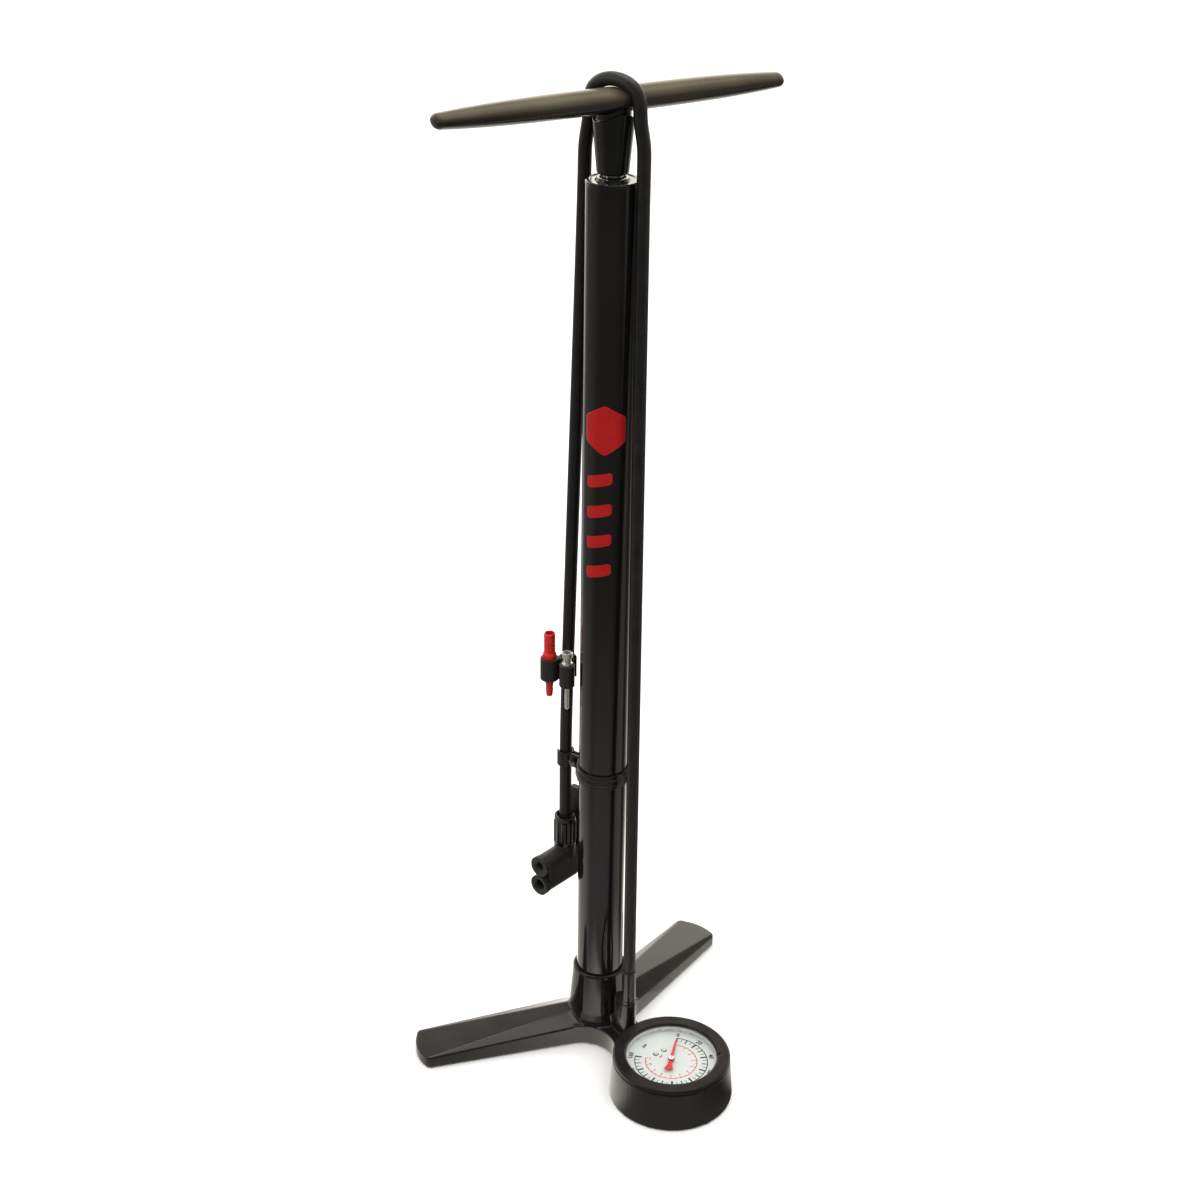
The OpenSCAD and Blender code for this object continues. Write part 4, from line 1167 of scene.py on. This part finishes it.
def pointer_needle():
    hub = [(POINTER_HUB_R * math.cos(math.radians(t)), POINTER_HUB_R * math.sin(math.radians(t)))
           for t in np.linspace(32, 150, 22)]
    half = POINTER_TIP + hub + POINTER_TAIL
    outline = half + [(x, -y) for x, y in reversed(half)]
    # it points at the scale's zero
    c, s = math.cos(math.radians(SCALE_START)), math.sin(math.radians(SCALE_START))
    placed = [(x * c - y * s + GAUGE[0], x * s + y * c + GAUGE[1]) for x, y in outline]
    n = len(placed)
    verts = [(x, y, z) for z in (POINTER_BOTTOM, POINTER_TOP) for x, y in placed]
    faces = [tuple(range(n - 1, -1, -1)), tuple(range(n, 2 * n))]
    faces += [(i, (i + 1) % n, n + (i + 1) % n, n + i) for i in range(n)]
    ob = fix_normals(make("pointer_needle", verts, faces, smooth=False))
    bevel = ob.modifiers.new("bevel", "BEVEL")
    bevel.width = 0.12 * MM
    bevel.segments = 2
    bevel.limit_method = "ANGLE"
    bevel.angle_limit = math.radians(50)
    return ob


put(pointer_needle(), "pointer", "pointer_red", "pointer_unit", "pointer")

HUB_CAP_OUTLINE = [(0, 29.12), (2.3, 29.12, .1), (2.3, 29.9, .25), (1.6, 30.6, .4), (0, 30.6)]
put(lathe("pointer_hub_cap", fillet(HUB_CAP_OUTLINE, 0.2, closed=False), 96, 0.3, GAUGE),
    "cap", "dial_white", "pointer_unit", "pointer_cap")


# ------------------------------------------------------------------ head, clip and bracket

# name, CAD node, voxel in mm, smoothing passes, material, slot, body
MOULDINGS = [
    ("head_housing", "head_body", 0.30, 5, "matte", "matte_black_plastic", "root"),
    ("head_hose_nut", "head_collar", 0.28, 3, "gloss", "gloss_black_plastic", "root"),
    ("port_cap_wide", "wide_port_nut", 0.22, 3, "matte", "matte_black_plastic", "root"),
    ("port_cap_narrow", "narrow_port_nut", 0.22, 3, "matte", "matte_black_plastic", "root"),
    ("band_clip", "barrel_clip", 0.24, 2, "satin", "matte_black_plastic", "root"),
    ("adapter_bracket", "adapter_holder", 0.28, 4, "matte", "matte_black_plastic", "root"),
    ("lock_lever", "head_lever", 0.28, 4, "matte", "matte_black_plastic", "lever"),
]
for moulding in MOULDINGS:
    moulded(*moulding)


# ------------------------------------------------------------------ adapters

ADAPTER_AXIS = (-22.4, 36.3)
NEEDLE_AXIS = (-18.1, 20.5)


def ridges(count, start, pitch, ridge):
    """Repeats a ridge of (r, height above its foot, corner radius) up a lathe outline."""
    return [(r, start + i * pitch + rise, corner) for i in range(count)
            for r, rise, corner in ridge]


ADAPTER_OUTLINE = [
    # barbed stem
    (1.1, 285, .1), (2.1, 285, .2), (2.35, 286, .3), (2.8, 291, .2), (2.45, 291.4, .15),
    (3.1, 296, .2), (2.75, 296.4, .15),
    # cone and flange
    (3.5, 299, .3), (4.4, 316.0, 0), (5, 316.1, .2), (5, 319.2, .3), (4.5, 320.2, .3),
    *ridges(8, 321.4, 1.75, [(3.72, 0, .12), (4.15, 0.45, .2), (4.15, 1.1, .2), (3.72, 1.5, .12)]),
    # rim and the hollow below it
    (3.9, 336, .25), (3.1, 336, .2), (3.1, 324, .1), (1.1, 324, .1)]
put(lathe("adapter_red", fillet(ADAPTER_OUTLINE, 0.2, 4), 96, 1.0, ADAPTER_AXIS),
    "red", "red_plastic", "adapter", "valve_adapter")

NEEDLE_OUTLINE = [
    (1.52, 304, .1), (3.3, 304, .3), (3.3, 316.1, 0), (3.9, 316.1, .2), (3.9, 317.6, .3),
    (2.9, 318.6, .2),
    *ridges(3, 318.9, 0.95, [(2.75, 0, .08), (3.0, 0.4, .1)]),
    (2.9, 321.9, .1), (3.85, 322.4, .25), (3.85, 325.6, .3), (3.4, 326, .2), (2.3, 326, .2),
    (2.3, 312, .1), (1.52, 312, .05)]
put(lathe("needle_grip", fillet(NEEDLE_OUTLINE, 0.2, 4), 96, 0.8, NEEDLE_AXIS),
    "needle", "chrome", "needle", "needle_hub")


# ------------------------------------------------------------------ graphic on the barrel
# A red rounded hexagon above four slanted bars, wrapped round the barrel.

GRAPHIC_COLUMNS = 28
# corners as (arc length round the barrel, height), from the shape's centre
HEXAGON = [(17 * math.cos(math.radians(t)), 18 * math.sin(math.radians(t)))
           for t in (90, 150, 210, 270, 330, 30)]
SLANTED_BAR = [(-9.3, -6.9), (9.3, -1.9), (9.3, 6.9), (-9.3, 1.9)]
BAR_PITCH = 22.4
# azimuth in degrees, centre height, corners, corner radius, rows
GRAPHIC_SHAPES = [(225.5, 505, HEXAGON, 3.5, 60)]
GRAPHIC_SHAPES += [(214, 401.5 + k * BAR_PITCH, SLANTED_BAR, 2.4, 40) for k in range(4)]


def edge_at(outline, z, sign):
    """The outline's furthest x at height z, to the left (sign -1) or to the right (1)."""
    found = []
    for i, (x0, z0) in enumerate(outline):
        x1, z1 = outline[(i + 1) % len(outline)]
        if not min(z0, z1) - 1e-6 <= z <= max(z0, z1) + 1e-6:
            continue
        if abs(z1 - z0) > 1e-9:
            t = min(1, max(0, (z - z0) / (z1 - z0)))
            found.append(x0 + (x1 - x0) * t)
        else:
            found += [x0, x1]
    return max(found, key=lambda x: sign * x)


def barrel_graphic():
    verts, faces = [], []
    side = GRAPHIC_COLUMNS + 1         # points in a row of the inner or the outer skin
    row_size = 2 * side
    for azimuth, centre_z, corners, corner_radius, rows in GRAPHIC_SHAPES:
        start = len(verts)
        outline = np.array(fillet(corners, corner_radius, 10))
        bottom, top = outline[:, 1].min(), outline[:, 1].max()
        # rows crowd towards the top and bottom
        heights = bottom + (top - bottom) * (1 - np.cos(np.linspace(0, math.pi, rows))) / 2
        for z in heights:
            left, right = edge_at(outline, z, -1), edge_at(outline, z, 1)
            for r in (BARREL_R + 0.005, BARREL_R + 0.07):
                for k in range(side):
                    arc = left + (right - left) * k / GRAPHIC_COLUMNS
                    q = math.radians(azimuth) + arc / BARREL_R
                    verts.append((r * math.cos(q), r * math.sin(q), centre_z + z))
        for i in range(rows - 1):
            a = start + i * row_size
            b = a + row_size
            for k in range(GRAPHIC_COLUMNS):
                p = a + k
                faces.append((p, p + row_size, p + row_size + 1, p + 1))
                p += side
                faces.append((p, p + 1, p + row_size + 1, p + row_size))
            faces.append((a, a + side, b + side, b))
            a, b = a + GRAPHIC_COLUMNS, b + GRAPHIC_COLUMNS
            faces.append((a, b, b + side, a + side))
        for i in (0, rows - 1):
            a = start + i * row_size
            for k in range(GRAPHIC_COLUMNS):
                faces.append((a + k, a + k + 1, a + side + 1 + k, a + side + k))
    return fix_normals(make("barrel_graphic", verts, faces))


put(barrel_graphic(), "badge", "red_plastic")


# ------------------------------------------------------------------ CAD nodes shown as they are

# CAD node: (material, slot)
CAD_FINISHES = {
    "foot_pads": ("rubber", "rubber"),
    "valve_plug": ("matte", "matte_black_plastic"),
    "valve_seat": ("brass", "brass"),
    "check_ball": ("steel", "steel"),
    "valve_spring": ("steel", "steel"),
    "barrel_gasket": ("rubber", "rubber"),
    "rod_bush": ("nylon", "nylon"),
    "clip_screw": ("black_steel", "steel"),
    "rod_plug": ("steel", "steel"),
    "piston": ("matte", "matte_black_plastic"),
    "piston_ring": ("rubber", "rubber"),
    "piston_bolt": ("steel", "steel"),
    "stop_bumper": ("rubber", "rubber"),
    "handle_bolt": ("steel", "steel"),
    "base_nipple": ("brass", "brass"),
    "head_nipple": ("brass", "brass"),
    "wide_grommet": ("rubber", "rubber"),
    "narrow_grommet": ("rubber", "rubber"),
    "head_plunger": ("nylon", "nylon"),
    "lever_pin": ("steel", "steel"),
    "needle_tube": ("needle", "chrome"),
    "gauge_can": ("alu", "aluminium"),
    "gauge_socket": ("brass", "brass"),
    "bourdon_tube": ("brass", "brass"),
    "movement_frame": ("brass", "brass"),
    "sector_gear": ("brass", "brass"),
    "pointer_shaft": ("steel", "steel"),
    "dial_screws": ("trim", "aluminium"),
}
for cad_name, (material_key, slot_name) in CAD_FINISHES.items():
    finish(CAD[cad_name], material_key, slot_name)

known_slots = {entry["slot"] for entry in frame["record"]["materials"]}
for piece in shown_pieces():
    piece_slot = piece.get("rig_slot")
    if piece_slot is not None and piece_slot not in known_slots:
        raise SystemExit("unknown slot " + piece_slot)
